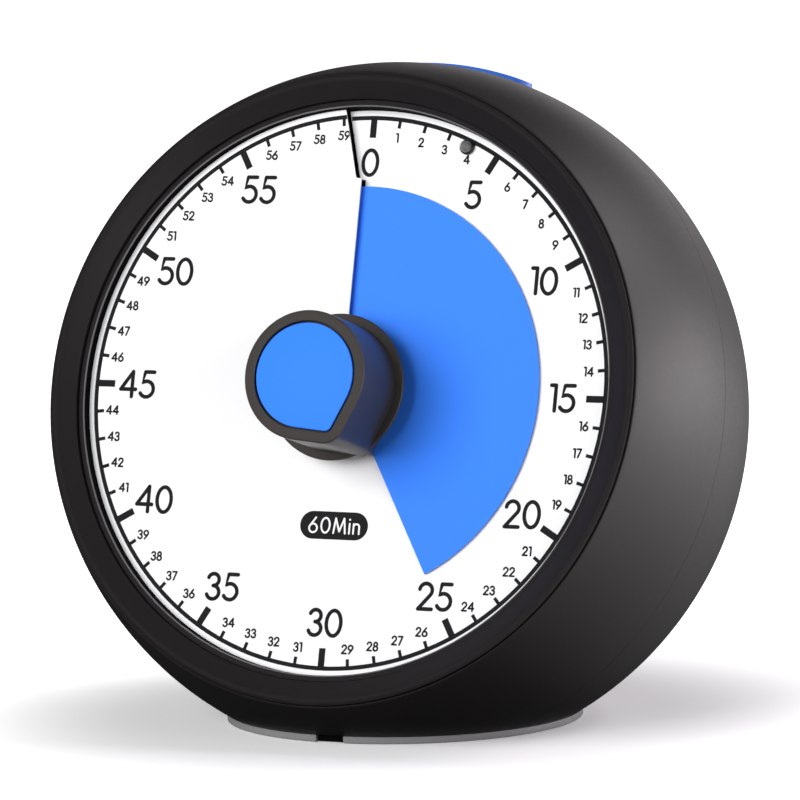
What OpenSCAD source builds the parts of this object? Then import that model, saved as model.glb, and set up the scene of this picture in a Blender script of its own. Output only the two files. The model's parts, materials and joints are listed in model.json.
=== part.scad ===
// Visual countdown timer: a ball-shaped case with a slit, spiral dial.
// A coloured spiral disc screws out through the slit as the knob is turned.
// Origin: centre of the foot's lower face. +Z up, -Y to the front, millimetres.
// "Axis" below means the dial's own axis, which leans back from the horizontal.

/* [Ball case] */
// Depth by which the flat of the foot cuts into the ball
foot_cut = 9.9; // [9:0.1:12]
// Wall of the two shells
wall = 2.4; // [2:0.1:3]
// Angle by which the dial leans back
lean = 15.25; // [12:0.25:18]
// Height of the front shell's rim over the dial's plane
rim_b = 6.246; // [5.8:0.002:6.8]
// Width of the shelf that carries the chassis
shelf_w = 6; // [5.4:0.1:7]
// Thickness of that shelf
shelf_t = 3; // [2.4:0.1:3.6]

/* [Foot] */
// How far the grey foot pad stands out from the ball
pad_out = 0.2; // [0.1:0.1:1]
// Thickness of the foot pad
pad_t = 1.6; // [1.2:0.1:2]
// Width of the notch in the front of the pad
notch_w = 6.9; // [5:0.1:9]
// Depth of the notch in the front of the pad
notch_d = 3; // [2:0.1:5]
// Gap between the floor plate and the shells round it
floor_gap = 0.8; // [0.4:0.1:1.5]
// Thickness of the floor plate
floor_t = 2; // [1.5:0.1:3]

/* [Dial] */
// Height of the dial's middle plane in front of the ball's centre
dial_z = 30; // [29:0.1:31]
// Radius of the dial
dial_r = 66.3; // [62:0.1:70]
// Radius of the hole in the dial's middle
dial_hole_r = 12.4; // [12:0.1:13]
// Thickness of the dial sheet
dial_t = 0.6; // [0.5:0.05:0.7]
// Rise of the spiral in one whole turn
pitch = 2.3; // [2.2:0.05:2.6]
// Angle of the slit near the hub, clockwise from twelve
slit_a = -0.8; // [-2:0.1:-0.5]
// Angle of the slit at the dial's rim
slit_rim_a = -5.5; // [-7:0.5:-5]
// How far outside the coloured disc the slit bends
slit_over = 0.7; // [0.4:0.1:1.5]
// Width of the slit, as an angle
slit_gap = 0.4; // [0.2:0.1:1]

/* [Coloured disc] */
// Radius of the coloured disc
disc_r = 48.4; // [46:0.1:49]
// Thickness of the coloured disc
disc_t = 0.4; // [0.3:0.05:0.5]
// Gap between the dial's face and the back of the disc
disc_gap = 0.35; // [0.3:0.05:0.4]
// Turn that the disc spans, in degrees
disc_span = 352; // [345:1:354]
// Time that the timer is set to, in minutes
set_min = 25; // [5:1:55]

/* [Bezel] */
// Gap between the dial and the bezel's inner wall
dial_gap = 0.2; // [0.1:0.05:0.4]
// Width of the bezel's inner lip
lip_w = 1.1; // [0.9:0.1:1.5]
// Height of the inner lip over the dial's plane
lip_b = 2.4; // [2.2:0.1:2.8]
// Width of the bezel's sloping face
slope_w = 5.8; // [5:0.1:7]
// Height of the step over the dial's plane
step_b = 3.4; // [3:0.1:3.8]
// Height of the bezel's outer crest over the dial's plane
crest_b = 6; // [5.6:0.1:6.2]
// Width of the groove between the bezel and the front shell
groove = 0.6; // [0.4:0.1:0.8]
// Wall of the bezel
bezel_wall = 1.5; // [1.2:0.1:1.8]

/* [Knob] */
// Radius of the knob's grip
knob_r = 15.1; // [14.6:0.1:15.6]
// How far the grip's corner stands out from its round
knob_nose = 2.3; // [1.6:0.1:3]
// Radius of that corner
knob_corner = 4.8; // [4:0.1:6]
// Width of the flange round the grip's corner
flange_rim = 0.1; // [0.1:0.1:1]
// Height of the flange's back over the dial's plane
flange_b = 2.6; // [2.6:0.1:2.9]
// Thickness of the flange
flange_t = 2.9; // [2.5:0.1:3.3]
// Height of the knob's front face over the dial's plane
knob_b = 23.6; // [22:0.1:25]
// Bevel round the knob's front face
knob_bevel = 0.5; // [0.3:0.1:0.8]
// Width of the dark rim round the coloured inlay
inlay_rim = 2.5; // [2.2:0.1:3]
// Depth of the inlay's recess
inlay_d = 1.4; // [1:0.1:2]
// Gap round the inlay
inlay_gap = 0.3; // [0.2:0.05:0.4]

/* [Top button] */
// Length of the button's cap
button_l = 52.2; // [46:0.2:56]
// Width of the button's cap
button_w = 7.4; // [6.8:0.2:9]
// How far the cap stands proud of the ball
button_proud = 0.56; // [0.52:0.02:0.8]
// Gap round the cap
button_gap = 0.3; // [0.25:0.05:0.4]
// Thickness of the cap's hidden flange
button_flange_t = 1.2; // [1:0.1:1.5]
// Width of that flange round the cap
button_flange_w = 1.5; // [1.2:0.1:2]

/* [Spindle and hub] */
// Radius of the steel spindle
spindle_r = 2.5; // [2.2:0.1:2.6]
// Running clearance of turning pieces
run = 0.06; // [0.04:0.01:0.08]
// Outer radius of the bearing bush
bush_r = 4.8; // [4.5:0.1:5]
// Outer radius of the disc's hub
hub_r = 8.5; // [8:0.1:9]
// Gap between the hub's spiral ledge and the dial's hole
ledge_gap = 1; // [0.8:0.1:1.2]
// Gap between the hub and its lifting cam
cam_gap = 0.15; // [0.1:0.05:0.2]
// Thickness of the hub's spiral ledge
ledge_t = 1; // [0.8:0.1:1.2]

/* [Chassis and movement] */
// Depth of the chassis' front face under the dial's plane
chassis_b = 7; // [6.8:0.1:7.5]
// Thickness of the chassis
chassis_t = 2; // [1.6:0.1:2.4]
// Thickness of the movement's plates
plate_t = 1.6; // [1.2:0.1:2]
// Clear space between the movement's plates
plate_space = 17.8; // [17:0.1:19]
// Module of the gear teeth
gear_m = 0.5; // [0.45:0.05:0.55]
// Teeth of the main gear
main_teeth = 60; // [56:1:62]
// Teeth of the idler's wheel
wheel_teeth = 48; // [44:4:52]
// Teeth of both pinions
pinion_teeth = 12; // [12:1:13]
// Face width of the gears
gear_t = 2.5; // [2:0.1:3]
// Radius of the motor
motor_r = 10; // [9:0.1:10.5]
// Length of the motor
motor_l = 16; // [14:0.5:20]

/* [Batteries] */
// Radius of a battery
cell_r = 7.1; // [7.05:0.05:7.2]
// Length of a battery
cell_l = 50.5; // [50:0.1:50.5]
// Room for the contacts at both ends of a battery
contact_room = 3.5; // [3:0.1:5]
// Room round and between the two batteries
cell_room = 1.6; // [1.2:0.1:2.4]
// Wall of the tray
tray_wall = 2; // [1.6:0.1:2.2]
// Depth of the tray from its floor to the shell at its corners
tray_deep = 18.8; // [18:0.1:20]
// Gap round the battery door
door_gap = 0.3; // [0.3:0.05:0.5]

/* [Hidden] */
$fn = 96;
eps = 0.01;
far = 200;

turn_steps = 120;
deg_per_min = 6;
set_a = set_min * deg_per_min;
lip_r = dial_r + dial_gap;
step_r = lip_r + lip_w;
bezel_r = step_r + slope_w;
opening_r = bezel_r + groove;
// The ball's surface passes through the rim of the front opening
ball_r = sqrt(pow(opening_r, 2) + pow(dial_z + rim_b, 2));
ball_h = ball_r - foot_cut;
inner_r = ball_r - wall;
// Radius of a ball's flat at the top of the foot pad
function flat_r(r) = sqrt(pow(r, 2) - pow(ball_h - pad_t, 2));
pad_r = flat_r(ball_r) + pad_out;
floor_r = flat_r(inner_r) - floor_gap;
slit_bend_r = disc_r + slit_over;
shelf_in_r = opening_r - shelf_w;
knob_tip = knob_r + knob_nose;
flange_r = knob_tip + flange_rim;
ledge_r = dial_hole_r - ledge_gap;
tray_l = cell_l + contact_room;
tray_w = 4 * cell_r + cell_room;
tray_z = sqrt(pow(inner_r, 2) - (pow(tray_l, 2) + pow(tray_w, 2)) / 4) - tray_deep;
// How deep what stands on a shell's wall is rooted in it
root_in = wall / 3;
// Gap between pieces that are pressed together
press = 0.02;
chassis_z = dial_z - chassis_b;
chassis_back = chassis_z - chassis_t;

// Height of the spiral at an angle counted clockwise from twelve
function spiral(a) = pitch * ((a - slit_rim_a) / 360 - 0.5);
// A point on the dial's frame at a clockwise angle
function clock(r, a, z) = [r * sin(a), r * cos(a), z];

// Frame of the dial: origin at the ball's centre, +Z out of the dial, +Y to twelve
module leaning() translate([0, 0, ball_h]) rotate([90 - lean, 0, 0]) children();
// The same frame with its origin on the dial's middle plane
module on_dial() leaning() translate([0, 0, dial_z]) children();
// Frame on the top of the ball: +Z outwards along the dial's twelve o'clock line
module on_top() leaning() rotate([-90, 0, 0]) children();

module ball(r) sphere(r = r, $fn = 128);
module tube(r_out, r_in, h) difference() {
    cylinder(r = r_out, h = h);
    translate([0, 0, -eps]) cylinder(r = r_in, h = h + 2 * eps);
}

// Spiral solid between stations of [radius, first angle, last angle].
// low and high are offsets from the spiral; a flat underside takes flat as its height.
module spiral_solid(stations, low, high, flat = undef, lift = 0, steps = turn_steps) {
    n = len(stations);
    row = 2 * n;
    function angle(s, i) = s[1] + (s[2] - s[1]) * i / steps;
    points = [for (i = [0 : steps]) each concat(
        [for (s = stations) let (a = angle(s, i)) clock(s[0], a, spiral(a) + lift + high)],
        [for (s = stations) let (a = angle(s, i))
            clock(s[0], a, is_undef(flat) ? spiral(a) + lift + low : flat)])];
    function p(i, k) = i * row + k;
    skin = [for (i = [0 : steps - 1], k = [0 : n - 2]) each [
        [p(i, k), p(i, k + 1), p(i + 1, k + 1)], [p(i, k), p(i + 1, k + 1), p(i + 1, k)],
        [p(i, n + k), p(i + 1, n + k + 1), p(i, n + k + 1)],
        [p(i, n + k), p(i + 1, n + k), p(i + 1, n + k + 1)]]];
    edges = [for (i = [0 : steps - 1]) each [
        [p(i, 0), p(i + 1, 0), p(i + 1, n)], [p(i, 0), p(i + 1, n), p(i, n)],
        [p(i, n - 1), p(i + 1, row - 1), p(i + 1, n - 1)],
        [p(i, n - 1), p(i, row - 1), p(i + 1, row - 1)]]];
    ends = [for (k = [0 : n - 2]) each [
        [p(0, k), p(0, n + k), p(0, n + k + 1)], [p(0, k), p(0, n + k + 1), p(0, k + 1)],
        [p(steps, k), p(steps, n + k + 1), p(steps, n + k)],
        [p(steps, k), p(steps, k + 1), p(steps, n + k + 1)]]];
    polyhedron(points = points, faces = concat(skin, edges, ends), convexity = 6);
}

// ---- Case ----------------------------------------------------------------

screw_ring_r = shelf_in_r + 3;
screw_a = [45, 135, 225, 315];
boss_r = 4;
rear_boss_r = boss_r + 1;
screw_head_r = 2.9;
screw_head_t = 2;
screw_r = 1.5;
screw_gap = 0.2;
well_r = screw_head_r + 0.4;
boss_front_l = chassis_back - 6;
boss_seat_z = -12;
screw_l = boss_front_l - boss_seat_z - 5;
door_lap = 0.5;
door_l = tray_l + 2 * (tray_wall - door_lap);
door_w = tray_w + 2 * (tray_wall - door_lap);
door_corner = 3;
// Cutters for the door and the button start inside the shell's wall
door_cut_z = sqrt(pow(inner_r, 2) - (pow(door_l, 2) + pow(door_w, 2)) / 4) - door_corner;
button_cut_z = sqrt(pow(inner_r, 2) - pow(button_l / 2 + button_flange_w, 2)) - 2 * button_flange_t;

module at_screws() for (a = screw_a) rotate(a) translate([screw_ring_r, 0, 0]) children();

module below_pad() translate([-far / 2, -far / 2, pad_t - far]) cube(far);

module behind_seam() leaning() translate([-far / 2, -far / 2, -far]) cube(far);

module pill(l, w) {
    square([l - w, w], center = true);
    for (s = [-1, 1]) translate([s * (l - w) / 2, 0]) circle(d = w);
}

module rounded(l, w, r) {
    square([l - 2 * r, w], center = true);
    square([l, w - 2 * r], center = true);
    for (x = [-1, 1], y = [-1, 1]) translate([x * (l / 2 - r), y * (w / 2 - r)]) circle(r = r);
}

module button_slot() on_top() translate([0, 0, button_cut_z]) linear_extrude(far)
    pill(button_l + 2 * button_gap, button_w + 2 * button_gap);

module shell_wall() difference() {
    leaning() ball(ball_r);
    leaning() ball(inner_r);
    below_pad();
    button_slot();
}

// Half section of the front shell: wall, round opening and the shelf for the chassis
module front_section() difference() {
    union() {
        difference() {
            circle(r = ball_r, $fn = 256);
            circle(r = inner_r, $fn = 256);
        }
        intersection() {
            translate([shelf_in_r, chassis_back - shelf_t]) square([ball_r, shelf_t]);
            circle(r = inner_r + root_in, $fn = 256);
        }
    }
    translate([-far, -far]) square([2 * far, far]);
    translate([-far, -far]) square([far, 2 * far]);
    translate([-eps, chassis_back]) square([opening_r + eps, far]);
}

module front_shell() color([0.16, 0.16, 0.16]) difference() {
    union() {
        leaning() rotate(90) rotate_extrude() front_section();
        leaning() at_screws() cylinder(r = boss_r, h = chassis_back - shelf_t + eps);
    }
    leaning() at_screws() translate([0, 0, -eps]) cylinder(r = screw_r, h = boss_front_l);
    button_slot();
    below_pad();
}

module rear_shell() color([0.16, 0.16, 0.16]) difference() {
    union() {
        intersection() {
            shell_wall();
            behind_seam();
        }
        leaning() intersection() {
            at_screws() translate([0, 0, -inner_r]) cylinder(r = rear_boss_r, h = inner_r);
            ball(inner_r + root_in);
        }
        // Posts of the switch board
        on_top() intersection() {
            for (x = board_post_x) translate([x, board_post_y, switch_v])
                cylinder(r = board_post_r, h = inner_r);
            rotate([90, 0, 0]) ball(inner_r + root_in);
        }
    }
    leaning() {
        at_screws() {
            translate([0, 0, boss_seat_z - far]) cylinder(r = well_r, h = far);
            translate([0, 0, boss_seat_z - eps]) cylinder(r = screw_r + screw_gap, h = far);
        }
        translate([0, 0, -far]) linear_extrude(far - door_cut_z)
            rounded(door_l, door_w, door_corner);
    }
    below_pad();
}

module base_pad() color([0.42, 0.42, 0.43]) difference() {
    cylinder(r = pad_r, h = pad_t);
    translate([-notch_w / 2, notch_d - far - pad_r, -eps]) cube([notch_w, far, pad_t + 2 * eps]);
}

module base_plate() color([0.2, 0.2, 0.2]) translate([0, 0, pad_t])
    cylinder(r = floor_r, h = floor_t);

// ---- Front: bezel, dial and chassis --------------------------------------

crest_round = 0.7;
step_slope = 0.2;

module bezel() color([0.13, 0.13, 0.13]) on_dial() rotate_extrude() polygon([
    [lip_r, -chassis_b],
    [lip_r + bezel_wall, -chassis_b],
    [lip_r + bezel_wall, step_b - bezel_wall],
    [bezel_r - bezel_wall, crest_b - 2 * bezel_wall],
    [bezel_r - bezel_wall, -chassis_b],
    [bezel_r, -chassis_b],
    [bezel_r, crest_b - crest_round],
    [bezel_r - 0.3 * crest_round, crest_b - 0.3 * crest_round],
    [bezel_r - crest_round, crest_b],
    [step_r, step_b],
    [step_r - step_slope, lip_b],
    [lip_r, lip_b]]);

board_lift = 2;
board_l = 60;
board_w = 22;
board_t = 1.6;
board_gap = 1;
board_y = sqrt(pow(shelf_in_r - board_gap, 2) - pow(board_l / 2, 2)) - board_w / 2;
stand_r = 3;
led_r = 1.5;
led_a = 24;
led_inset = 3.7;
led_ring_r = dial_r - led_inset;
led_out = 2.3;
led_foot_r = 1.9;
led_hole_gap = 0.15;

chassis_back_b = -chassis_b - chassis_t;

module at_led() rotate(-led_a) translate([0, led_ring_r, 0]) children();

module chassis() color([0.2, 0.2, 0.2]) difference() {
    union() {
        on_dial() translate([0, 0, chassis_back_b]) cylinder(r = bezel_r, h = chassis_t);
        on_dial() for (x = [-1, 1]) translate([x * (board_l / 2 - stand_r - 1), board_y,
            chassis_back_b - board_lift]) cylinder(r = stand_r, h = board_lift + eps);
    }
    on_dial() translate([0, 0, chassis_back_b - 1]) {
        cylinder(r = bush_r, h = chassis_t + 2);
        at_led() cylinder(r = led_foot_r + 2 * led_hole_gap, h = chassis_t + 2);
    }
}

// The dial: a spiral sheet on a skirt that stands on the chassis
module dial_plate() color([0.95, 0.95, 0.95]) on_dial() difference() {
    union() {
        spiral_solid([[dial_hole_r, slit_a, slit_a + 360 - slit_gap],
                      [slit_bend_r, slit_a, slit_a + 360 - slit_gap],
                      [dial_r, slit_rim_a, slit_rim_a + 360 - slit_gap]], -dial_t, 0);
        spiral_solid([[dial_r - 1, slit_rim_a, slit_rim_a + 360 - slit_gap],
                      [dial_r, slit_rim_a, slit_rim_a + 360 - slit_gap]],
                     0, -dial_t / 2, flat = -chassis_b);
    }
    at_led() translate([0, 0, -chassis_b]) cylinder(r = led_r + led_hole_gap, h = 2 * chassis_b);
}

module blue_disc() color([0.25, 0.55, 1]) on_dial()
    spiral_solid([[hub_r + hub_seat, set_a - disc_span, set_a],
                  [disc_r, set_a - disc_span, set_a]],
                 disc_gap, disc_gap + disc_t);

// Hub of the disc: its underside is the same spiral as the cam below it
hub_seat = 0.03;
hub_top = 0.9;
hub_under = -1.65;
hub_steps = 48;
hub_foot = spiral(set_a - 360) + hub_under - 1;
ledge_top = disc_gap - 0.02;
key_l = 4.3;
key_w = 3;
key_r = [bush_r + 0.8, hub_r - 0.9];
key_gap = 0.15;

module keys(gap, h) for (s = [0, 180]) rotate(s - set_a)
    translate([-key_w / 2 - gap, key_r[0] - gap, 0])
        cube([key_w + 2 * gap, key_r[1] - key_r[0] + 2 * gap, h]);

module disc_hub() color([0.85, 0.85, 0.82]) on_dial() difference() {
    union() {
        translate([0, 0, hub_foot]) cylinder(r = hub_r, h = hub_top - hub_foot);
        spiral_solid([[hub_r - 0.5, set_a - disc_span + 1, set_a - 1],
                      [ledge_r, set_a - disc_span + 1, set_a - 1]],
                     ledge_top - ledge_t, ledge_top, steps = hub_steps);
        translate([0, 0, hub_top - 0.5]) keys(0, key_l + 0.5);
    }
    // Spiral underside, cut in two halves
    for (half = [-1, 0])
        spiral_solid([[1, set_a + 180 * (half - 1), set_a + 180 * half],
                      [hub_r + 1, set_a + 180 * (half - 1), set_a + 180 * half]],
                     0, hub_under, flat = hub_foot - 1, steps = hub_steps / 2);
    translate([0, 0, -far / 2]) cylinder(r = bush_r + run, h = far);
}

module lift_cam() color([0.9, 0.9, 0.88]) on_dial() difference() {
    spiral_solid([[bush_r - 1, slit_rim_a - 360, slit_rim_a - 0.5],
                  [hub_r, slit_rim_a - 360, slit_rim_a - 0.5]],
                 0, hub_under - cam_gap, flat = -chassis_b, steps = hub_steps);
    translate([0, 0, -far / 2]) cylinder(r = bush_r + press, h = far);
}

bush_top = flange_b - 0.4;
module bearing_bush() color([0.8, 0.65, 0.3]) on_dial() translate([0, 0, chassis_back_b])
    tube(bush_r, spindle_r + run, bush_top - chassis_back_b);

// ---- Knob ----------------------------------------------------------------

// Round outline drawn out to a rounded corner at the pointer
module knob_outline(inset = 0) {
    r = knob_r - inset;
    corner = knob_corner - inset;
    corner_y = knob_tip - knob_corner;
    flat_a = acos((r - corner) / corner_y);
    rotate(-set_a) {
        circle(r = r);
        translate([0, corner_y]) circle(r = corner);
        polygon([[0, 0], [r * sin(flat_a), r * cos(flat_a)],
                 [corner * sin(flat_a), corner_y + corner * cos(flat_a)],
                 [-corner * sin(flat_a), corner_y + corner * cos(flat_a)],
                 [-r * sin(flat_a), r * cos(flat_a)]]);
    }
}

spindle_in = knob_b - flange_b - 5;
spindle_end_gap = 0.3;
module knob() color([0.22, 0.22, 0.22]) on_dial() difference() {
    union() {
        translate([0, 0, flange_b]) cylinder(r = flange_r, h = flange_t);
        translate([0, 0, flange_b]) linear_extrude(knob_b - knob_bevel - flange_b) knob_outline();
        translate([0, 0, flange_b]) linear_extrude(knob_b - flange_b) knob_outline(knob_bevel);
    }
    translate([0, 0, knob_b - inlay_d]) linear_extrude(inlay_d + 1) knob_outline(inlay_rim);
    translate([0, 0, flange_b - 1]) cylinder(r = spindle_r + press, h = spindle_in + 1);
    translate([0, 0, flange_b - 1]) keys(key_gap, hub_top + key_l + pitch - flange_b + 1);
}

module knob_inlay() color([0.22, 0.55, 1]) on_dial() translate([0, 0, knob_b - inlay_d])
    linear_extrude(inlay_d) knob_outline(inlay_rim + inlay_gap);

// ---- Movement ------------------------------------------------------------

front_plate_b = chassis_back_b - plate_t;
rear_plate_b = front_plate_b - plate_space - plate_t;
main_b = front_plate_b - 2.4 - gear_t;
wheel_b = main_b - 1.5 - gear_t;
idler_d = gear_m * (main_teeth + pinion_teeth) / 2;
motor_d = gear_m * (wheel_teeth + pinion_teeth) / 2;
arbor_r = 1;
plate_x = [-26, 36];
plate_y = 26;
pillar_r = 2.2;
pillar_at = [for (x = [plate_x[0] + 4, plate_x[1] - 4], y = [-1, 1]) [x, y * (plate_y - 4)]];

module spindle() color([0.75, 0.75, 0.77]) on_dial() translate([0, 0, rear_plate_b - 1])
    cylinder(r = spindle_r, h = flange_b + spindle_in - rear_plate_b + 1 - spindle_end_gap);

module plate_outline() translate([(plate_x[0] + plate_x[1]) / 2, 0])
    rounded(plate_x[1] - plate_x[0], 2 * plate_y, 4);

module plate() difference() {
    linear_extrude(plate_t) plate_outline();
    translate([0, 0, -1]) cylinder(r = spindle_r + run, h = plate_t + 2);
    translate([idler_d, 0, -1]) cylinder(r = arbor_r + run, h = plate_t + 2);
    for (p = pillar_at) translate([p[0], p[1], -1]) cylinder(r = 1.1, h = plate_t + 2);
}

module front_plate() color([0.7, 0.6, 0.35]) on_dial() translate([0, 0, front_plate_b]) plate();

module rear_plate() color([0.7, 0.6, 0.35]) on_dial() translate([0, 0, rear_plate_b]) difference() {
    plate();
    translate([idler_d, -motor_d, -1]) cylinder(r = 3, h = plate_t + 2);
}

module plate_pillars() color([0.7, 0.7, 0.7]) on_dial() for (p = pillar_at)
    translate([p[0], p[1], rear_plate_b + plate_t]) tube(pillar_r, 1, plate_space);

// Involute gear outline; thin takes off each flank for play
function roll(base, r) = r <= base ? 0 : sqrt(pow(r / base, 2) - 1) * 180 / PI - acos(base / r);
module gear_outline(teeth, thin = 0.06) {
    pr = gear_m * teeth / 2;
    base = pr * cos(20);
    root = pr - 1.25 * gear_m;
    tip = pr + 0.9 * gear_m;
    half = 90 / teeth - thin / pr * 180 / PI / 2 + roll(base, pr);
    radii = [root, max(base, root + 0.05), pr, (pr + tip) / 2, tip];
    flank = [for (r = radii) [r, half - roll(base, r)]];
    polygon([for (i = [0 : teeth - 1]) each concat(
        [for (k = [0 : len(flank) - 1]) let (f = flank[k], a = i * 360 / teeth - f[1])
            [f[0] * cos(a), f[0] * sin(a)]],
        [for (k = [len(flank) - 1 : -1 : 0]) let (f = flank[k], a = i * 360 / teeth + f[1])
            [f[0] * cos(a), f[0] * sin(a)]])]);
}

module main_gear() color([0.9, 0.88, 0.8]) on_dial() translate([0, 0, main_b]) difference() {
    union() {
        linear_extrude(gear_t) gear_outline(main_teeth);
        translate([0, 0, gear_t - eps]) cylinder(r = 5, h = 1.4);
    }
    translate([0, 0, -1]) cylinder(r = spindle_r + press, h = 2 * gear_t + 2);
}

// A tooth of one meets a gap of the other on the line between their axes
module idler_gear() color([0.9, 0.88, 0.8]) on_dial() translate([idler_d, 0, 0]) {
    translate([0, 0, rear_plate_b + 0.3])
        cylinder(r = arbor_r, h = chassis_back_b - rear_plate_b - 0.6);
    translate([0, 0, main_b - 0.2]) linear_extrude(gear_t + 0.4)
        rotate(180 + 180 / pinion_teeth) gear_outline(pinion_teeth);
    translate([0, 0, wheel_b]) linear_extrude(gear_t) gear_outline(wheel_teeth);
    translate([0, 0, wheel_b + gear_t - eps]) cylinder(r = 2.2, h = main_b - wheel_b - gear_t);
}

module motor_pinion() color([0.8, 0.7, 0.4]) on_dial() translate([idler_d, -motor_d, 0]) {
    translate([0, 0, wheel_b - 0.2]) linear_extrude(gear_t + 0.4)
        rotate(90 + 180 / pinion_teeth) gear_outline(pinion_teeth);
    translate([0, 0, rear_plate_b + 0.2]) cylinder(r = arbor_r, h = wheel_b - rear_plate_b);
}

module motor() color([0.6, 0.6, 0.62]) on_dial()
    translate([idler_d, -motor_d, rear_plate_b - motor_l]) cylinder(r = motor_r, h = motor_l);

module movement_screws() color([0.7, 0.7, 0.7]) on_dial() for (p = pillar_at)
    translate([p[0], p[1], rear_plate_b]) {
        translate([0, 0, -1.2]) cylinder(r = 1.9, h = 1.2);
        cylinder(r = 0.98, h = 6);
    }

module shell_screws() color([0.5, 0.5, 0.5]) leaning() at_screws() {
    translate([0, 0, boss_seat_z - screw_head_t]) cylinder(r = screw_head_r, h = screw_head_t);
    translate([0, 0, boss_seat_z]) cylinder(r = screw_r, h = screw_l);
}

// ---- Electronics ---------------------------------------------------------

board_b = chassis_back_b - board_lift - board_t;

module status_led() color([0.55, 0.55, 0.55]) on_dial() at_led() {
    base = spiral(led_a);
    translate([0, 0, base + led_out - led_r]) sphere(r = led_r);
    translate([0, 0, base - 3]) cylinder(r = led_r, h = led_out - led_r + 3);
    translate([0, 0, base - 4]) cylinder(r = led_foot_r, h = 1);
    for (s = [-1, 1]) translate([s * led_r / 2, 0, board_b + board_t])
        cylinder(r = 0.25, h = base - 3.5 - board_b - board_t);
}

module circuit_board() color([0.1, 0.4, 0.2]) on_dial()
    translate([-board_l / 2, board_y - board_w / 2, board_b]) cube([board_l, board_w, board_t]);

buzzer_r = 9;
buzzer_h = 6;
module buzzer() color([0.1, 0.1, 0.1]) on_dial() translate([-16, board_y, board_b - buzzer_h])
    tube(buzzer_r, 1.2, buzzer_h);

// Top button and its switch, on the twelve o'clock line of the ball
switch_w = 6;
switch_h = 3.5;
plunger_r = 1.6;
plunger_out = 1;
stem_r = 2.6;
stem_l = 6;
button_foot_r = inner_r - button_gap - button_flange_t;
plunger_top = button_foot_r - stem_l;
switch_v = plunger_top - plunger_out - switch_h;
board_post_x = [-9, 9];
board_post_r = 2.2;
board_post_y = button_w / 2 + button_flange_w + board_post_r + button_gap;

module top_shell(r_out, r_in, l, w) intersection() {
    translate([0, 0, button_cut_z - button_flange_t]) linear_extrude(far) pill(l, w);
    difference() {
        ball(r_out);
        ball(r_in);
    }
}

module top_button() color([0.22, 0.5, 0.95]) on_top() {
    top_shell(ball_r + button_proud, button_foot_r, button_l, button_w);
    top_shell(inner_r - button_gap, button_foot_r,
              button_l + 2 * button_flange_w, button_w + 2 * button_flange_w);
    translate([0, 0, plunger_top]) cylinder(r = stem_r, h = stem_l + button_flange_t / 2);
}

module switch_plunger() color([0.1, 0.1, 0.1]) on_top()
    translate([0, 0, switch_v + switch_h - 1]) cylinder(r = plunger_r, h = plunger_out + 1);

module switch_housing() color([0.7, 0.7, 0.7]) on_top() translate([0, 0, switch_v]) difference() {
    translate([-switch_w / 2, -switch_w / 2, 0]) cube([switch_w, switch_w, switch_h]);
    translate([0, 0, switch_h - 2]) cylinder(r = plunger_r + run, h = 3);
}

module switch_board() color([0.1, 0.4, 0.2]) on_top()
    translate([board_post_x[0] - board_post_r, -switch_w / 2 - 2, switch_v - board_t])
        cube([board_post_x[1] - board_post_x[0] + 2 * board_post_r,
              board_post_y + board_post_r + switch_w / 2 + 2, board_t]);

// ---- Batteries -----------------------------------------------------------

cell_y = cell_r + cell_room / 8;
cell_z = -tray_z - cell_r - 0.1;
cell_nub = 1;
cell_nub_r = 2.7;

module battery_tray() color([0.18, 0.18, 0.18]) leaning() difference() {
    intersection() {
        translate([0, 0, -far / 2]) linear_extrude(far / 2 - tray_z + tray_wall)
            rounded(tray_l + 2 * tray_wall, tray_w + 2 * tray_wall, door_corner);
        ball(inner_r);
    }
    translate([0, 0, -far / 2]) linear_extrude(far / 2 - tray_z) square([tray_l, tray_w], center = true);
}

module battery_door() color([0.16, 0.16, 0.16]) leaning() difference() {
    intersection() {
        translate([0, 0, -far]) linear_extrude(far - door_cut_z)
            rounded(door_l - 2 * door_gap, door_w - 2 * door_gap, door_corner - door_gap);
        ball(ball_r);
    }
    ball(inner_r + door_gap);
}

module batteries() color([0.3, 0.3, 0.32]) leaning() for (s = [-1, 1])
    translate([-s * (cell_l - cell_nub) / 2, s * cell_y, cell_z]) rotate([0, s * 90, 0]) {
        cylinder(r = cell_r, h = cell_l - cell_nub);
        translate([0, 0, cell_l - cell_nub - eps]) cylinder(r = cell_nub_r, h = cell_nub);
    }

contact_t = 0.3;
contact_h = 2 * cell_r - 3;
module battery_contacts() color([0.75, 0.75, 0.72]) leaning() for (x = [-1, 1])
    translate([x > 0 ? tray_l / 2 - contact_t : -tray_l / 2, 1 - tray_w / 2, -tray_z - contact_h - 1])
        cube([contact_t, tray_w - 2, contact_h]);

// ---- All pieces ----------------------------------------------------------

front_shell();
rear_shell();
bezel();
base_pad();
base_plate();
chassis();
dial_plate();
blue_disc();
disc_hub();
lift_cam();
bearing_bush();
spindle();
knob();
knob_inlay();
status_led();
circuit_board();
buzzer();
top_button();
switch_plunger();
switch_housing();
switch_board();
front_plate();
rear_plate();
plate_pillars();
main_gear();
idler_gear();
motor_pinion();
motor();
battery_tray();
battery_door();
batteries();
battery_contacts();
shell_screws();
movement_screws();
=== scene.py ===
# %% [markdown]
# # A visual countdown timer
# A ball-shaped case leans back and carries a white spiral dial. A blue spiral disc
# comes out through the dial's slit and shows the minutes that are left. The packed
# model gives every piece its place, and this script gives each one its looks.

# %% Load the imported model
import bpy
import bmesh
import json
import math
from mathutils import Matrix, Vector


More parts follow.
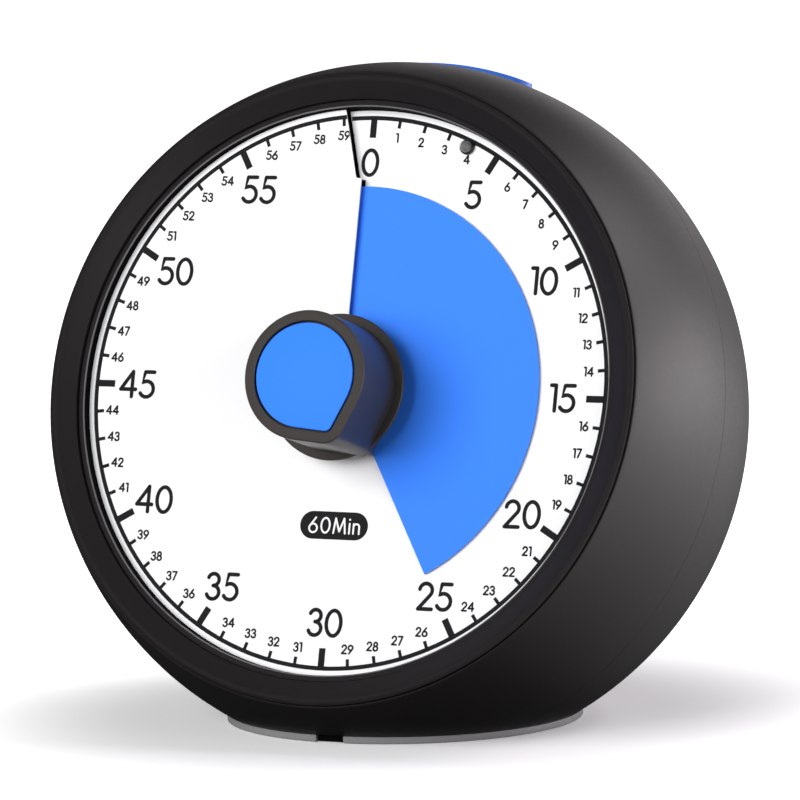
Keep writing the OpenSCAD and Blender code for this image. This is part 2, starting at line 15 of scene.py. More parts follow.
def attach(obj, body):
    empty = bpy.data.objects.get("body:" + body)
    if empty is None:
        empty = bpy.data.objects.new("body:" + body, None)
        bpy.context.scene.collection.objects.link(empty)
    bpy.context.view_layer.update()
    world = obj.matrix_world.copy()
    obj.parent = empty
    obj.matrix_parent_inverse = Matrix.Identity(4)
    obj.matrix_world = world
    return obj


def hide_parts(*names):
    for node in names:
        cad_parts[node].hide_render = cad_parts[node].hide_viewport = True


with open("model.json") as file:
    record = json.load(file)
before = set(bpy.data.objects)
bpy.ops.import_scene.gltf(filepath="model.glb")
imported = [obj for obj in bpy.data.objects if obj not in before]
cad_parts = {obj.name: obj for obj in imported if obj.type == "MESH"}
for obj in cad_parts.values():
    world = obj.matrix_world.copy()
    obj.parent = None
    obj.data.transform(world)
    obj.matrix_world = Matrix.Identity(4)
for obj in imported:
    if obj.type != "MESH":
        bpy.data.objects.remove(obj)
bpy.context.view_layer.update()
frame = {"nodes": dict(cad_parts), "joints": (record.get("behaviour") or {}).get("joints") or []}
nodes = frame["nodes"]
print("nodes:", len(nodes))

# %% [markdown]
# ## A leaning frame
# The whole face of the timer leans back. Each piece could be drawn leaning, with sines
# and cosines in every size. It is easier to draw it lying flat, with the dial's axis as Z
# and twelve o'clock along Y, and to tip it up once at the end. The knob's joint says
# where that axis is. From here on every size is in millimetres in the leaning frame.

# %% The leaning frame
MM = 0.001
knob_joint = next(j for j in frame["joints"] if j["name"] == "knob_turn")
dial_axis = Vector(knob_joint["axis"]).normalized()
ball_centre = Vector(knob_joint["pos_m"])
side = Vector((1, 0, 0))
twelve = dial_axis.cross(side)
LEAN = Matrix((side, twelve, dial_axis)).transposed().to_4x4()
LEAN.translation = ball_centre
TO_PLACE = LEAN @ Matrix.Scale(MM, 4)
print("the dial leans back", round(math.degrees(math.asin(dial_axis.z)), 2), "degrees")

# %% [markdown]
# ## Moulded plastic
# Nearly every piece that shows is moulded plastic: one colour, with the fine grain of its
# mould. A single flat colour would look like a drawing, and a picture of grain would have
# to be unwrapped. Noise on Object coordinates keeps its size on every piece. A coarse
# noise shifts the colour a little, and a fine one moves roughness and bump together.

# %% Noise and ranges
def noise(tree, scale, detail):
    """Adds noise on Object coordinates and returns its output."""
    place = tree.nodes.new("ShaderNodeTexCoord")
    node = tree.nodes.new("ShaderNodeTexNoise")
    node.inputs["Scale"].default_value = scale
    node.inputs["Detail"].default_value = detail
    tree.links.new(place.outputs["Object"], node.inputs["Vector"])
    return node.outputs["Fac"]

def ranged(tree, value, low, high, first=0.0, last=1.0):
    """Adds a node that carries a value from first..last over to low..high."""
    node = tree.nodes.new("ShaderNodeMapRange")
    ends = {"From Min": first, "From Max": last, "To Min": low, "To Max": high}
    for socket, number in ends.items():
        node.inputs[socket].default_value = number
    tree.links.new(value, node.inputs["Value"])
    return node

# %% [markdown]
# One helper makes every finish of the timer. A node group could hold the shared nodes, but
# a function is easier to read, and each call then shows what sets a finish apart: its
# colour, its mean roughness, and how much both of them vary.

# %% A helper for moulded finishes
GRAIN = 900.0          # noise cells in a metre: about one to a millimetre
BROAD = GRAIN / 30     # the slow change of colour
GRAIN_DEPTH = 0.00004
COAT_ROUGH = 0.25

def plastic(name, colour, rough, bump=0.05, vary=0.08, rough_vary=0.06, coat=0.0, spec=0.5):
    """A moulded finish of one colour, with its grain."""
    mat = bpy.data.materials.new(name)
    mat.use_nodes = True
    tree = mat.node_tree
    shader = tree.nodes["Principled BSDF"]
    fine = noise(tree, GRAIN, 4)

    tint = tree.nodes.new("ShaderNodeMix")
    tint.data_type = "RGBA"
    tint.inputs["A"].default_value = (*[c * (1 - vary) for c in colour], 1)
    tint.inputs["B"].default_value = (*[min(1.0, c * (1 + vary)) for c in colour], 1)
    tree.links.new(noise(tree, BROAD, 2), tint.inputs["Factor"])
    tree.links.new(tint.outputs["Result"], shader.inputs["Base Color"])

    matt = ranged(tree, fine, rough - rough_vary, rough + rough_vary)
    tree.links.new(matt.outputs["Result"], shader.inputs["Roughness"])

    relief = tree.nodes.new("ShaderNodeBump")
    relief.inputs["Strength"].default_value = bump
    relief.inputs["Distance"].default_value = GRAIN_DEPTH
    tree.links.new(fine, relief.inputs["Height"])
    tree.links.new(relief.outputs["Normal"], shader.inputs["Normal"])

    shader.inputs["Specular IOR Level"].default_value = spec
    shader.inputs["Coat Weight"].default_value = coat
    shader.inputs["Coat Roughness"].default_value = COAT_ROUGH
    print("finish", name)
    return mat

# %% [markdown]
# ## From a bmesh to a finished piece
# Each piece is drawn as a bmesh and ends in the same way: its faces are turned outwards,
# it is tipped into place, and it is tied to the body it moves with. Smooth shading with
# a limit on the angle keeps the rims crisp, where smoothing everything would smear them.

# %% Settle a piece
def settle(bm, name, finish, body, place=TO_PLACE, smooth=40.0):
    """Makes the bmesh an object at its place, with its finish, on its body."""
    bmesh.ops.recalc_face_normals(bm, faces=bm.faces)
    mesh = bpy.data.meshes.new(name)
    bm.to_mesh(mesh)
    bm.free()
    mesh.transform(place)
    mesh.materials.append(finish)
    obj = bpy.data.objects.new(name, mesh)
    bpy.context.scene.collection.objects.link(obj)
    for poly in mesh.polygons:
        poly.use_smooth = True
    mesh.set_sharp_from_angle(angle=math.radians(smooth))
    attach(obj, body)
    print(name, len(mesh.polygons), "faces")
    return obj

# %% [markdown]
# ## Turned pieces
# Shells, bezel and skirt are round, as if turned on a lathe. Cutting a sphere or cylinder
# to shape would take many cuts. A half section is drawn once and spun a full turn, and
# the doubled points at the seam and on the axis are merged, so that the piece is closed.

# %% Arcs and turned pieces
def arc(centre, radius, start, end, count):
    """Points of an arc, from one angle to another."""
    angles = [math.radians(start + (end - start) * i / count) for i in range(count + 1)]
    return [(centre[0] + radius * math.cos(a), centre[1] + radius * math.sin(a)) for a in angles]

def turned(section, steps=192):
    """Spins a closed half section of (radius, height) round the dial's axis."""
    bm = bmesh.new()
    verts = [bm.verts.new((r, 0, z)) for r, z in section]
    edges = [bm.edges.new((a, b)) for a, b in zip(verts, verts[1:] + verts[:1])]
    bmesh.ops.spin(bm, geom=verts + edges, cent=(0, 0, 0), axis=(0, 0, 1),
                   angle=math.tau, steps=steps, use_merge=True, use_duplicate=False)
    bmesh.ops.remove_doubles(bm, verts=bm.verts, dist=0.0005)
    on_axis = [e for e in bm.edges if not e.link_faces]
    bmesh.ops.delete(bm, geom=on_axis, context="EDGES")
    return bm

# %% [markdown]
# ## The dial's spiral
# The dial isn't flat. It climbs 2.3 mm in one turn, so that at the slit its end stands
# over its start, and the blue disc can come out between them. The slit runs out from the
# hub beside twelve o'clock and jogs to the left near the numerals. Both are written as
# formulas here, because the dial, the disc, the printing and the light all lie on them.

# %% The spiral and its slit
DIAL_Z = 30.0          # the dial's plane, in front of the ball's centre
DIAL_R = 66.5
PITCH = 2.3            # rise of the spiral in one turn
SLIT_RIM_A = -5.5      # the angle at which the spiral starts and ends, at the dial's edge
SLIT_X = -0.8          # the slit's place left of the twelve o'clock line, near the hub
SLIT_JOG = (50.0, 50.2)           # the radii between which it jogs
SLIT_JOG_X = -2.25     # its place after the jog
SLIT_SLANT = 0.258     # how far it runs left for each millimetre outwards after the jog
SLIT_WIDTH = 0.12

def spiral(a):
    """Height over the dial's plane, at an angle clockwise from twelve."""
    return PITCH * ((a - SLIT_RIM_A) / 360 - 0.5)

def slit_x(r):
    """The slit's distance from the twelve o'clock line, at a radius."""
    if r <= SLIT_JOG[0]:
        return SLIT_X
    if r >= SLIT_JOG[1]:
        return SLIT_JOG_X - SLIT_SLANT * (r - SLIT_JOG[1])
    share = (r - SLIT_JOG[0]) / (SLIT_JOG[1] - SLIT_JOG[0])
    return SLIT_X + share * (SLIT_JOG_X - SLIT_X)

def slit_angle(r):
    return math.degrees(math.asin(slit_x(r) / r))

def turn_angle(x, y):
    """Angle clockwise from twelve, counted on from the slit's right side."""
    a = math.degrees(math.atan2(x, y))
    first = slit_angle(math.hypot(x, y))
    return first + (a - first) % 360

print("the slit meets the dial's edge at", round(slit_angle(DIAL_R), 2), "degrees")

# %% [markdown]
# A spiral sheet could be worked out point by point. A spin with a small step along the
# axis draws the same thing in one call. Its ends come out straight, so on the dial they
# are turned onto the slit afterwards, by a shift that fades out away from the ends.

# %% Spiral sheets
FADE = 6               # how quickly the shift of the ends fades

def thicken(bm, height):
    """Gives all faces of a sheet a thickness along the axis."""
    up = bmesh.ops.extrude_face_region(bm, geom=bm.faces[:])
    lifted = [v for v in up["geom"] if isinstance(v, bmesh.types.BMVert)]
    bmesh.ops.translate(bm, verts=lifted, vec=(0, 0, height))

def ends_on_slit(bm, start, turn, first_z):
    """Turns the two ends of a spun sheet onto the slit, half its width apart from it."""
    for v in bm.verts:
        r = math.hypot(v.co.x, v.co.y)
        share = (v.co.z - first_z) / (PITCH * turn / 360)
        gap = math.degrees(SLIT_WIDTH / r) / 2 * (1 if share < 0.5 else -1)
        shift = (slit_angle(r) - start + gap) * abs(2 * share - 1) ** FADE
        v.co = Matrix.Rotation(math.radians(-shift), 3, "Z") @ v.co
        v.co.z += PITCH * shift / 360

def spiral_sheet(radii, start, end, steps, low, high, to_slit=False):
    """A spiral band between two angles, from one height over the spiral to another."""
    bm = bmesh.new()
    first_z = DIAL_Z + spiral(start) + low
    a = math.radians(start)
    row = [bm.verts.new((r * math.sin(a), r * math.cos(a), first_z)) for r in radii]
    edges = [bm.edges.new(pair) for pair in zip(row, row[1:])]
    rise = PITCH * (end - start) / 360 / steps
    bmesh.ops.spin(bm, geom=row + edges, cent=(0, 0, 0), axis=(0, 0, -1), dvec=(0, 0, rise),
                   angle=math.radians(end - start), steps=steps, use_duplicate=False)
    if to_slit:
        ends_on_slit(bm, start, end - start, first_z)
    thicken(bm, high - low)
    return bm

# %% [markdown]
# ## The white dial
# The dial is a thin sheet in a satin white with hardly any change of colour. It is spun
# from an angle close to the slit, and its radii include both ends of the jog, so that the
# slit's bend comes out sharp. An even grid would need many more faces for that.

# %% The white dial
dial_white = plastic("dial_white", (0.86, 0.86, 0.87), 0.55, vary=0.01, bump=0.03)
SHEET_T = 0.35
DIAL_HOLE_R = 12.4     # the disc's hub comes up through it
DIAL_FIRST_A = -1.0    # the sheet is spun from here, and then its ends are put on the slit
dial_radii = [DIAL_HOLE_R, 16, 20, 25, 30, 35, 40, 45, *SLIT_JOG, 55, 60.5, DIAL_R]
bm = spiral_sheet(dial_radii, DIAL_FIRST_A, DIAL_FIRST_A + 360, 240, -SHEET_T, 0, to_slit=True)
dial = settle(bm, "dial_sheet", dial_white, "case")
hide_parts("dial_plate")

# %% [markdown]
# ## The dial's skirt
# A wall under the dial's edge carries it. Only a black line of it shows, at the outer end
# of the slit, where the gap lies in shade. So it is a plain turned ring in a near black that
# hardly shines, which paints that shade.

# %% The skirt
# A near black that hardly shines: painted shade, for gaps and hollows that look dead black.
shade_black = plastic("shade_black", (0.003, 0.003, 0.003), 0.9, vary=0.05, spec=0.05)
SKIRT_WALL, SKIRT_DEPTH = 1.0, 7.0
skirt_top = DIAL_Z - PITCH / 2 - SHEET_T
bm = turned([(DIAL_R - SKIRT_WALL, DIAL_Z - SKIRT_DEPTH), (DIAL_R, DIAL_Z - SKIRT_DEPTH),
             (DIAL_R, skirt_top), (DIAL_R - SKIRT_WALL, skirt_top)], 128)
dial_skirt = settle(bm, "dial_skirt", shade_black, "case")

# %% [markdown]
# ## The blue disc
# The disc is the same spiral, a third of a millimetre in front of the dial. It turns with
# the knob, and its hub lifts it by the spiral's pitch in each turn, so that it always
# slides within its own surface. It covers a little less than a full turn. Its blue is
# strong and clear, so that the time left can be read from across a room.

# %% The blue disc
disc_blue = plastic("disc_blue", (0.036, 0.215, 0.95), 0.45, vary=0.02, bump=0.03)
DISC_HOLE_R, DISC_R = 8.53, 48.4
DISC_GAP = 0.35
DISC_T = 0.4
DISC_SPAN = 352.0
SET_A = 150.0          # the disc's leading edge: twenty-five minutes are left
disc_radii = [DISC_HOLE_R, 18, 28, 38, DISC_R]
bm = spiral_sheet(disc_radii, SET_A - DISC_SPAN, SET_A, 176, DISC_GAP, DISC_GAP + DISC_T)
disc = settle(bm, "time_disc", disc_blue, "disc_set")
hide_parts("blue_disc")

# %% [markdown]
# ## Strokes of the numerals
# Sixty numerals are printed on the dial, in plain strokes of one width with round ends.
# A text object would need a font that has the same plain forms. Each character is drawn
# here as a few paths, one unit high, with its width: lines for the straight strokes and
# ovals for the round ones. A stroke ends at each sharp corner and the next one starts.

# %% Paths of the characters
def oval(cx, cy, rx, ry, start=0.0, end=360.0, count=28):
    """Points of an oval, or of a part of one."""
    angles = [math.radians(start + (end - start) * i / count) for i in range(count + 1)]
    return [(cx + rx * math.cos(a), cy + ry * math.sin(a)) for a in angles]

GLYPHS = {
    "0": (0.62, [oval(0.31, 0.5, 0.31, 0.5)]),
    "1": (0.20, [[(0, 1), (0.2, 1)], [(0.2, 1), (0.2, 0)]]),
    "2": (0.57, [oval(0.28, 0.73, 0.265, 0.27, 172, -38, 18) + [(0, 0)], [(0, 0), (0.57, 0)]]),
    "3": (0.53, [oval(0.26, 0.765, 0.235, 0.235, 160, -90, 18),
                 oval(0.26, 0.265, 0.27, 0.265, 90, -160, 20)]),
    "4": (0.66, [[(0.5, 0), (0.5, 1)], [(0.5, 1), (0, 0.29)], [(0, 0.29), (0.66, 0.29)]]),
    "5": (0.57, [[(0.56, 1), (0.16, 1)], [(0.16, 1)] + oval(0.26, 0.315, 0.305, 0.315, 128, -148, 22)]),
    "6": (0.58, [oval(0.29, 0.29, 0.29, 0.29), [(0.45, 1), (0.045, 0.44)]]),
    "7": (0.52, [[(0, 1), (0.52, 1)], [(0.52, 1), (0.14, 0)]]),
    "8": (0.54, [oval(0.27, 0.765, 0.215, 0.235), oval(0.27, 0.265, 0.27, 0.265)]),
    "9": (0.58, [oval(0.29, 0.71, 0.29, 0.29), [(0.535, 0.56), (0.13, 0)]]),
    "M": (0.86, [[(0, 0), (0.12, 1)], [(0.12, 1), (0.43, 0.12)], [(0.43, 0.12), (0.74, 1)],
                 [(0.74, 1), (0.86, 0)]]),
    "i": (0.0, [[(0, 0), (0, 0.66)], [(0, 0.93), (0, 0.95)]]),
    "n": (0.42, [[(0, 0), (0, 0.66)], oval(0.21, 0.44, 0.21, 0.22, 180, 0, 10) + [(0.42, 0)]]),
}
print("characters:", "".join(GLYPHS))

# %% [markdown]
# A word is its characters' paths side by side, centred on a point. The stroke's width
# comes off the height first, because half of it sticks out at the top and at the foot.

# %% Set a word
def stroke_paths(word, height, stroke, centre, gap):
    """Paths of a word in millimetres, centred on a point. The gap is a share of its height."""
    tall = height - stroke
    width = sum(GLYPHS[c][0] for c in word) + gap * (len(word) - 1)
    x = -width / 2
    paths = []
    for c in word:
        for path in GLYPHS[c][1]:
            paths.append([(centre[0] + (x + px) * tall, centre[1] + (py - 0.5) * tall)
                          for px, py in path])
        x += GLYPHS[c][0] + gap
    return paths

# %% [markdown]
# ## Sweeping the strokes
# The paths become one curve with a round bevel, which is then pressed flat. Its points
# carry radii that shrink at both ends of a stroke, so that the ends come out round, as a
# pen's are. The bevel leaves ends open, and these get a face each.

# %% Sweep the strokes
INK_T = 0.02           # half thickness of the printing
ROUND_END = (0.4, 0.75, 0.96)     # where a round end is sampled, as shares of its reach

def with_round_ends(points, half):
    """Adds points past both ends of an open stroke, with shrinking radii."""
    for end, inner in ((0, 1), (-1, -2)):
        out = (points[end][0] - points[inner][0]).normalized()
        caps = [(points[end][0] + out * half * t, math.sqrt(1 - t * t)) for t in ROUND_END]
        points = caps[::-1] + points if end == 0 else points + caps
    return points

def close_ends(bm):
    """Closes each open loop of edges with a face."""
    bmesh.ops.edgeloop_fill(bm, edges=[e for e in bm.edges if e.is_boundary])

def curve_mesh(curve):
    """Turns a curve into a mesh, and deletes the curve."""
    temp = bpy.data.objects.new("strokes", curve)
    bpy.context.scene.collection.objects.link(temp)
    shown = temp.evaluated_get(bpy.context.evaluated_depsgraph_get())
    mesh = bpy.data.meshes.new_from_object(shown)
    bpy.data.objects.remove(temp)
    bpy.data.curves.remove(curve)
    return mesh

def swept(paths, stroke):
    """A bmesh of flat strokes with round ends, lying at height zero."""
    half = stroke / 2
    curve = bpy.data.curves.new("strokes", "CURVE")
    curve.dimensions = "3D"
    curve.bevel_depth = half
    curve.bevel_resolution = 1
    curve.use_fill_caps = True
    for path in paths:
        closed = math.dist(path[0], path[-1]) < 1e-6
        points = [(Vector((x, y, 0)), 1.0) for x, y in (path[:-1] if closed else path)]
        if not closed:
            points = with_round_ends(points, half)
        spline = curve.splines.new("POLY")
        spline.points.add(len(points) - 1)
        spline.use_cyclic_u = closed
        for p, (co, r) in zip(spline.points, points):
            p.co = (*co, 1)
            p.radius = r
    mesh = curve_mesh(curve)
    bm = bmesh.new()
    bm.from_mesh(mesh)
    bpy.data.meshes.remove(mesh)
    close_ends(bm)
    bmesh.ops.scale(bm, vec=(1, 1, INK_T / half), verts=bm.verts)
    return bm

# %% [markdown]
# ## Laying the printing on the dial
# Printing follows the dial's surface. A shrinkwrap could press it on, but it would bridge
# the step at the slit. So whatever crosses the slit is cut along both of its edges, the
# strip between is taken out, and each point drops onto the spiral by the formula.

# %% Lay the printing on the spiral
NEAR_SLIT = 6.0        # faces this near to the slit may cross it
BELOW_JOG = 1.0

def lay_on_dial(bm, lift=0.03):
    """Cuts the printing along the slit and drops it on the spiral."""
    start = Vector((SLIT_JOG_X, SLIT_JOG[1], 0))
    along = Vector((-SLIT_SLANT, 1, 0)).normalized()
    across = along.cross(Vector((0, 0, 1)))

    def on_slit(f, reach):
        middle = f.calc_center_median() - start
        return middle.dot(along) > -BELOW_JOG and abs(middle.dot(across)) < reach

    for side_of_slit in (-1, 1):
        near = [f for f in bm.faces if on_slit(f, NEAR_SLIT)]
        geom = list({g for f in near for g in (f, *f.edges, *f.verts)})
        if geom:
            bmesh.ops.bisect_plane(bm, geom=geom, plane_no=across,
                                   plane_co=start + across * SLIT_WIDTH / 2 * side_of_slit)
    between = [f for f in bm.faces if on_slit(f, SLIT_WIDTH / 2)]
    bmesh.ops.delete(bm, geom=between, context="FACES")
    close_ends(bm)
    for v in bm.verts:
        v.co.z += DIAL_Z + spiral(turn_angle(v.co.x, v.co.y)) + lift

# %% [markdown]
# ## The numerals
# Every fifth minute has a large numeral and the others a small one, upright, on a circle
# of their own. Sixty objects would only slow things down: all the large ones are one
# piece and all the small ones another, in a black ink that isn't quite black.

# %% The numerals
ink_black = plastic("ink_black", (0.011, 0.011, 0.0118), 0.5, vary=0.05)
DEG_PER_MIN = 6.0
BIG = {"height": 6.85, "stroke": 0.93, "at": 54.15, "gap": 0.22}
SMALL = {"height": 2.35, "stroke": 0.44, "at": 60.4, "gap": 0.26}

def on_clock(r, minute):
    a = math.radians(minute * DEG_PER_MIN)
    return (r * math.sin(a), r * math.cos(a))

def numerals(size, minutes):
    """Printing of the numerals of some minutes, on the dial."""
    paths = []
    for minute in minutes:
        paths += stroke_paths(str(minute), size["height"], size["stroke"],
                              on_clock(size["at"], minute), size["gap"])
    ink = swept(paths, size["stroke"])
    lay_on_dial(ink)
    return ink

fives = [m for m in range(60) if m % 5 == 0]
others = [m for m in range(60) if m % 5]
big_numbers = settle(numerals(BIG, fives), "numerals_fives", ink_black, "case")
small_numbers = settle(numerals(SMALL, others), "numerals_minutes", ink_black, "case")

# %% [markdown]
# ## The ticks
# Each tick is a thin block that starts on the ring and points at the centre, broad and
# long at every fifth minute. Cubes that are scaled and turned are the shortest way.

# %% The ticks
RING_R = (64.25, 65.25)
LONG_TICK, SHORT_TICK = (4.2, 1.6), (1.6, 0.8)    # length and width
TICK_LAP = 0.2         # how far a tick runs into the ring

def tick(bm, length, width, angle):
    """Adds a thin block from the ring inwards."""
    inner, outer = RING_R[0] - length, RING_R[0] + TICK_LAP
    verts = bmesh.ops.create_cube(bm, size=1.0)["verts"]
    bmesh.ops.scale(bm, vec=(width, outer - inner, 2 * INK_T), verts=verts)
    bmesh.ops.translate(bm, vec=(0, (inner + outer) / 2, 0), verts=verts)
    bmesh.ops.rotate(bm, cent=(0, 0, 0), matrix=Matrix.Rotation(math.radians(-angle), 3, "Z"),
                     verts=verts)

bm = bmesh.new()
for minute in range(60):
    length, width = SHORT_TICK if minute % 5 else LONG_TICK
    tick(bm, length, width, minute * DEG_PER_MIN)
lay_on_dial(bm)
ticks = settle(bm, "minute_ticks", ink_black, "case")

# %% [markdown]
# ## The ring
# The ring is a spiral band like the dial itself, from one side of the slit to the other,
# and lies a hundredth of a millimetre over it.

# %% The ring
RING_GAP_A = 0.1       # the angle that it stays clear of the slit on each side
RING_LIFT = 0.01
ring_start = slit_angle(RING_R[0])
bm = spiral_sheet(RING_R, ring_start + RING_GAP_A, ring_start + 360 - RING_GAP_A, 240,
                  RING_LIFT, RING_LIFT + 2 * INK_T)
ring = settle(bm, "minute_ring", ink_black, "case")

# %% [markdown]
# ## Outlines and prisms
# The label, the button's slot, the screw wells, the door and the foot are outlines drawn
# up to a height. The outlines are arcs joined by straight edges, and the prism is one
# face pushed up, with its rims bevelled where they show.

# %% Outlines
def pill_outline(length, width, centre=(0, 0), count=24):
    """A bar with round ends."""
    r = width / 2
    reach = length / 2 - r
    return (arc((centre[0] + reach, centre[1]), r, -90, 90, count)
            + arc((centre[0] - reach, centre[1]), r, 90, 270, count))

def box_outline(length, width, corner, count=8):
    """A box with rounded corners."""
    x, y = length / 2 - corner, width / 2 - corner
    return (arc((x, -y), corner, -90, 0, count) + arc((x, y), corner, 0, 90, count)
            + arc((-x, y), corner, 90, 180, count) + arc((-x, -y), corner, 180, 270, count))

# %% Prisms and rounded rims
def round_edges(bm, width, over):
    """Bevels the edges whose faces meet at more than an angle."""
    edges = [e for e in bm.edges if len(e.link_faces) == 2
             and e.calc_face_angle(0) > math.radians(over)]
    bmesh.ops.bevel(bm, geom=edges, offset=width, offset_type="OFFSET", affect="EDGES",
                    segments=3, profile=0.5, material=-1, clamp_overlap=True)

def prism(outline, low, high, bevel=0.0):
    """A closed outline drawn up from one height to another."""
    bm = bmesh.new()
    bm.faces.new([bm.verts.new((x, y, low)) for x, y in outline])
    thicken(bm, high - low)
    bmesh.ops.recalc_face_normals(bm, faces=bm.faces)
    if bevel:
        round_edges(bm, bevel, over=60)
    return bm

def add_to(bm, other):
    """Copies another bmesh into this one, and frees the other."""
    mesh = bpy.data.meshes.new("added")
    other.to_mesh(mesh)
    other.free()
    bm.from_mesh(mesh)
    bpy.data.meshes.remove(mesh)

# %% [markdown]
# ## The capacity label
# Under the knob the dial says how much time it holds, in white on a black bar. The bar
# is one face that is divided, because a single flat face couldn't follow the spiral.

# %% The label's ground
LABEL_Y = -31.5
LABEL_L, LABEL_W = 17.2, 6.5
bm = bmesh.new()
outline = pill_outline(LABEL_L, LABEL_W, centre=(0, LABEL_Y), count=20)
face = bm.faces.new([bm.verts.new((x, y, 0)) for x, y in outline])
bmesh.ops.triangulate(bm, faces=[face])
bmesh.ops.subdivide_edges(bm, edges=bm.edges[:], cuts=2, use_grid_fill=True)
thicken(bm, 2 * INK_T)
lay_on_dial(bm, lift=0.01)
pill = settle(bm, "label_ground", ink_black, "case")

# %% [markdown]
# The letters are swept like the numerals, in a white ink. They lie a little over the bar,
# so that the two surfaces don't flicker where they would share a plane.

# %% The label's letters
ink_white = plastic("ink_white", (0.85, 0.85, 0.85), 0.5, vary=0.02)
LETTER_H, LETTER_STROKE, LETTER_GAP = 3.9, 0.45, 0.30
LETTER_X = 0.1         # a shade right of the middle
label_ink = swept(stroke_paths("60Min", LETTER_H, LETTER_STROKE, (LETTER_X, LABEL_Y), LETTER_GAP),
                  LETTER_STROKE)
lay_on_dial(label_ink, lift=0.07)
label = settle(label_ink, "label_letters", ink_white, "case")

# %% [markdown]
# ## The foot's cut
# The ball stands on a flat that is level, while the piece itself is drawn leaning. A
# boolean with a big block would do it. A bisect is quicker and exact: the table's plane is
# carried into the leaning frame, and what lies below it is cleared. The cut leaves a ring
# between two circles, which a triangle fill closes where a bridge would fail.

# %% Cut level with the table
def cut_below(bm, height):
    """Cuts a piece off level with the table, at a height over it, and closes the cut."""
    to_frame = TO_PLACE.inverted()
    down = to_frame.to_3x3() @ Vector((0, 0, -1))
    point = to_frame @ Vector((0, 0, height * MM))
    cut = bmesh.ops.bisect_plane(bm, geom=bm.verts[:] + bm.edges[:] + bm.faces[:],
                                 plane_co=point, plane_no=down.normalized(), clear_outer=True)
    edges = [g for g in cut["geom_cut"] if isinstance(g, bmesh.types.BMEdge)]
    fill = bmesh.ops.triangle_fill(bm, edges=edges, use_beauty=True)
    faces = [g for g in fill["geom"] if isinstance(g, bmesh.types.BMFace)]
    print("foot cut closed with", len(faces), "faces")

# %% [markdown]
# ## The case
# The case is one ball, moulded in two halves that meet in the plane of its centre. Each
# is turned from its wall's section. The seam is a very fine V, half of it on each half,
# because the photograph shows it as a hair line, and the front opening has a small
# rounded rim. The finish is a warm black with the strongest grain of all, quite matt.

# %% Sizes of the case
BALL_R = 82.4          # outer radius
WALL = 2.4
OPENING_R = 74.0       # round opening of the front half
PAD_T = 1.6            # the foot pad's thickness: the case starts over it
SEAM_V = 0.12          # half width and depth of the seam's V
RIM_ROUND = 0.3
case_black = plastic("case_black", (0.0135, 0.0118, 0.0123), 0.50, bump=0.10)

def ball_arc(radius, z_from, z_to, count):
    """Points on a ball's section, from one height to another."""
    first, last = math.asin(z_from / radius), math.asin(z_to / radius)
    angles = [first + (last - first) * i / count for i in range(count + 1)]
    return [(radius * math.cos(a), radius * math.sin(a)) for a in angles]

print("the case is", 2 * BALL_R, "mm across")

# %% [markdown]
# The front half runs from the seam to the rounded rim of the opening, turns back into the
# opening and returns along the inside of the wall. With the whole wall in one section,
# nothing has to be made hollow afterwards.

# %% The front half
INNER_R = BALL_R - WALL
SEAT_Z = 24.0          # where the wall ends behind the opening's rim
rim_in = OPENING_R + RIM_ROUND
rim_top = math.sqrt((BALL_R - RIM_ROUND) ** 2 - rim_in ** 2)
rim_tilt = math.degrees(math.atan2(rim_top, rim_in))
bm = turned(ball_arc(BALL_R, SEAM_V, rim_top * BALL_R / (BALL_R - RIM_ROUND), 40)
            + arc((rim_in, rim_top), RIM_ROUND, rim_tilt, 180, 8)[1:]
            + [(OPENING_R, SEAT_Z)] + ball_arc(INNER_R, SEAT_Z, 0.0, 20)
            + [(BALL_R - SEAM_V, 0.0)], 256)
cut_below(bm, PAD_T)
front = settle(bm, "front_half", case_black, "case")
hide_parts("front_shell")

# %% [markdown]
# The rear half is the simpler bowl behind the seam. Its wells, the door's opening and the
# button's slot follow farther down, once the pieces that need them are there.

# %% The rear half
POLE = 0.99999         # ends just short of the pole, which the door's opening takes away
bm = turned(ball_arc(BALL_R, -BALL_R * POLE, -SEAM_V, 96) + [(BALL_R - SEAM_V, 0.0)]
            + ball_arc(INNER_R, 0.0, -INNER_R * POLE, 60), 256)
cut_below(bm, PAD_T)
rear = settle(bm, "rear_half", case_black, "case")
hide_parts("rear_shell")

# %% [markdown]
# ## The bezel
# A dark ring stands round the dial: a flat inner lip, a thin crevice, a step, and a long
# slope up to a crest that is rounded over onto the ball. All of it is one section, turned
# round once. The crest's wide rounding is what hides the joint to the case.

# %% The bezel's section
bezel_black = plastic("bezel_black", (0.0128, 0.011, 0.012), 0.42, bump=0.06)
LIP_R, LIP_B = 66.7, 3.0          # the inner lip, and its height over the dial
LIP_ROUND = 0.2
STEP_R, STEP_B = 68.35, 3.9       # the step where the slope starts
CREVICE_W, CREVICE_D = 0.2, 0.5   # the crevice at the step's foot
CREVICE_BEVEL = 0.05
BEZEL_R = OPENING_R - 0.05        # it fits the opening with this clearance
BEZEL_BACK_Z = 26.0
CREST_B, CREST_ROUND = 6.15, 2.0  # the crest's height, and the rounding onto the ball

lip_z = DIAL_Z + LIP_B
crevice = [(STEP_R - CREVICE_W - CREVICE_BEVEL, lip_z), (STEP_R - CREVICE_W, lip_z - CREVICE_D),
           (STEP_R, lip_z - CREVICE_D), (STEP_R, DIAL_Z + STEP_B)]
crest = arc((BEZEL_R - CREST_ROUND / 2, DIAL_Z + CREST_B - CREST_ROUND), CREST_ROUND, 118, 60, 10)
bezel_section = ([(LIP_R, BEZEL_BACK_Z)]
                 + arc((LIP_R + LIP_ROUND, lip_z - LIP_ROUND), LIP_ROUND, 180, 90, 4)
                 + crevice + crest + [(BEZEL_R, BEZEL_BACK_Z)])
bm = turned(bezel_section, 256)
bezel = settle(bm, "bezel_ring", bezel_black, "case", smooth=30)
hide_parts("bezel")
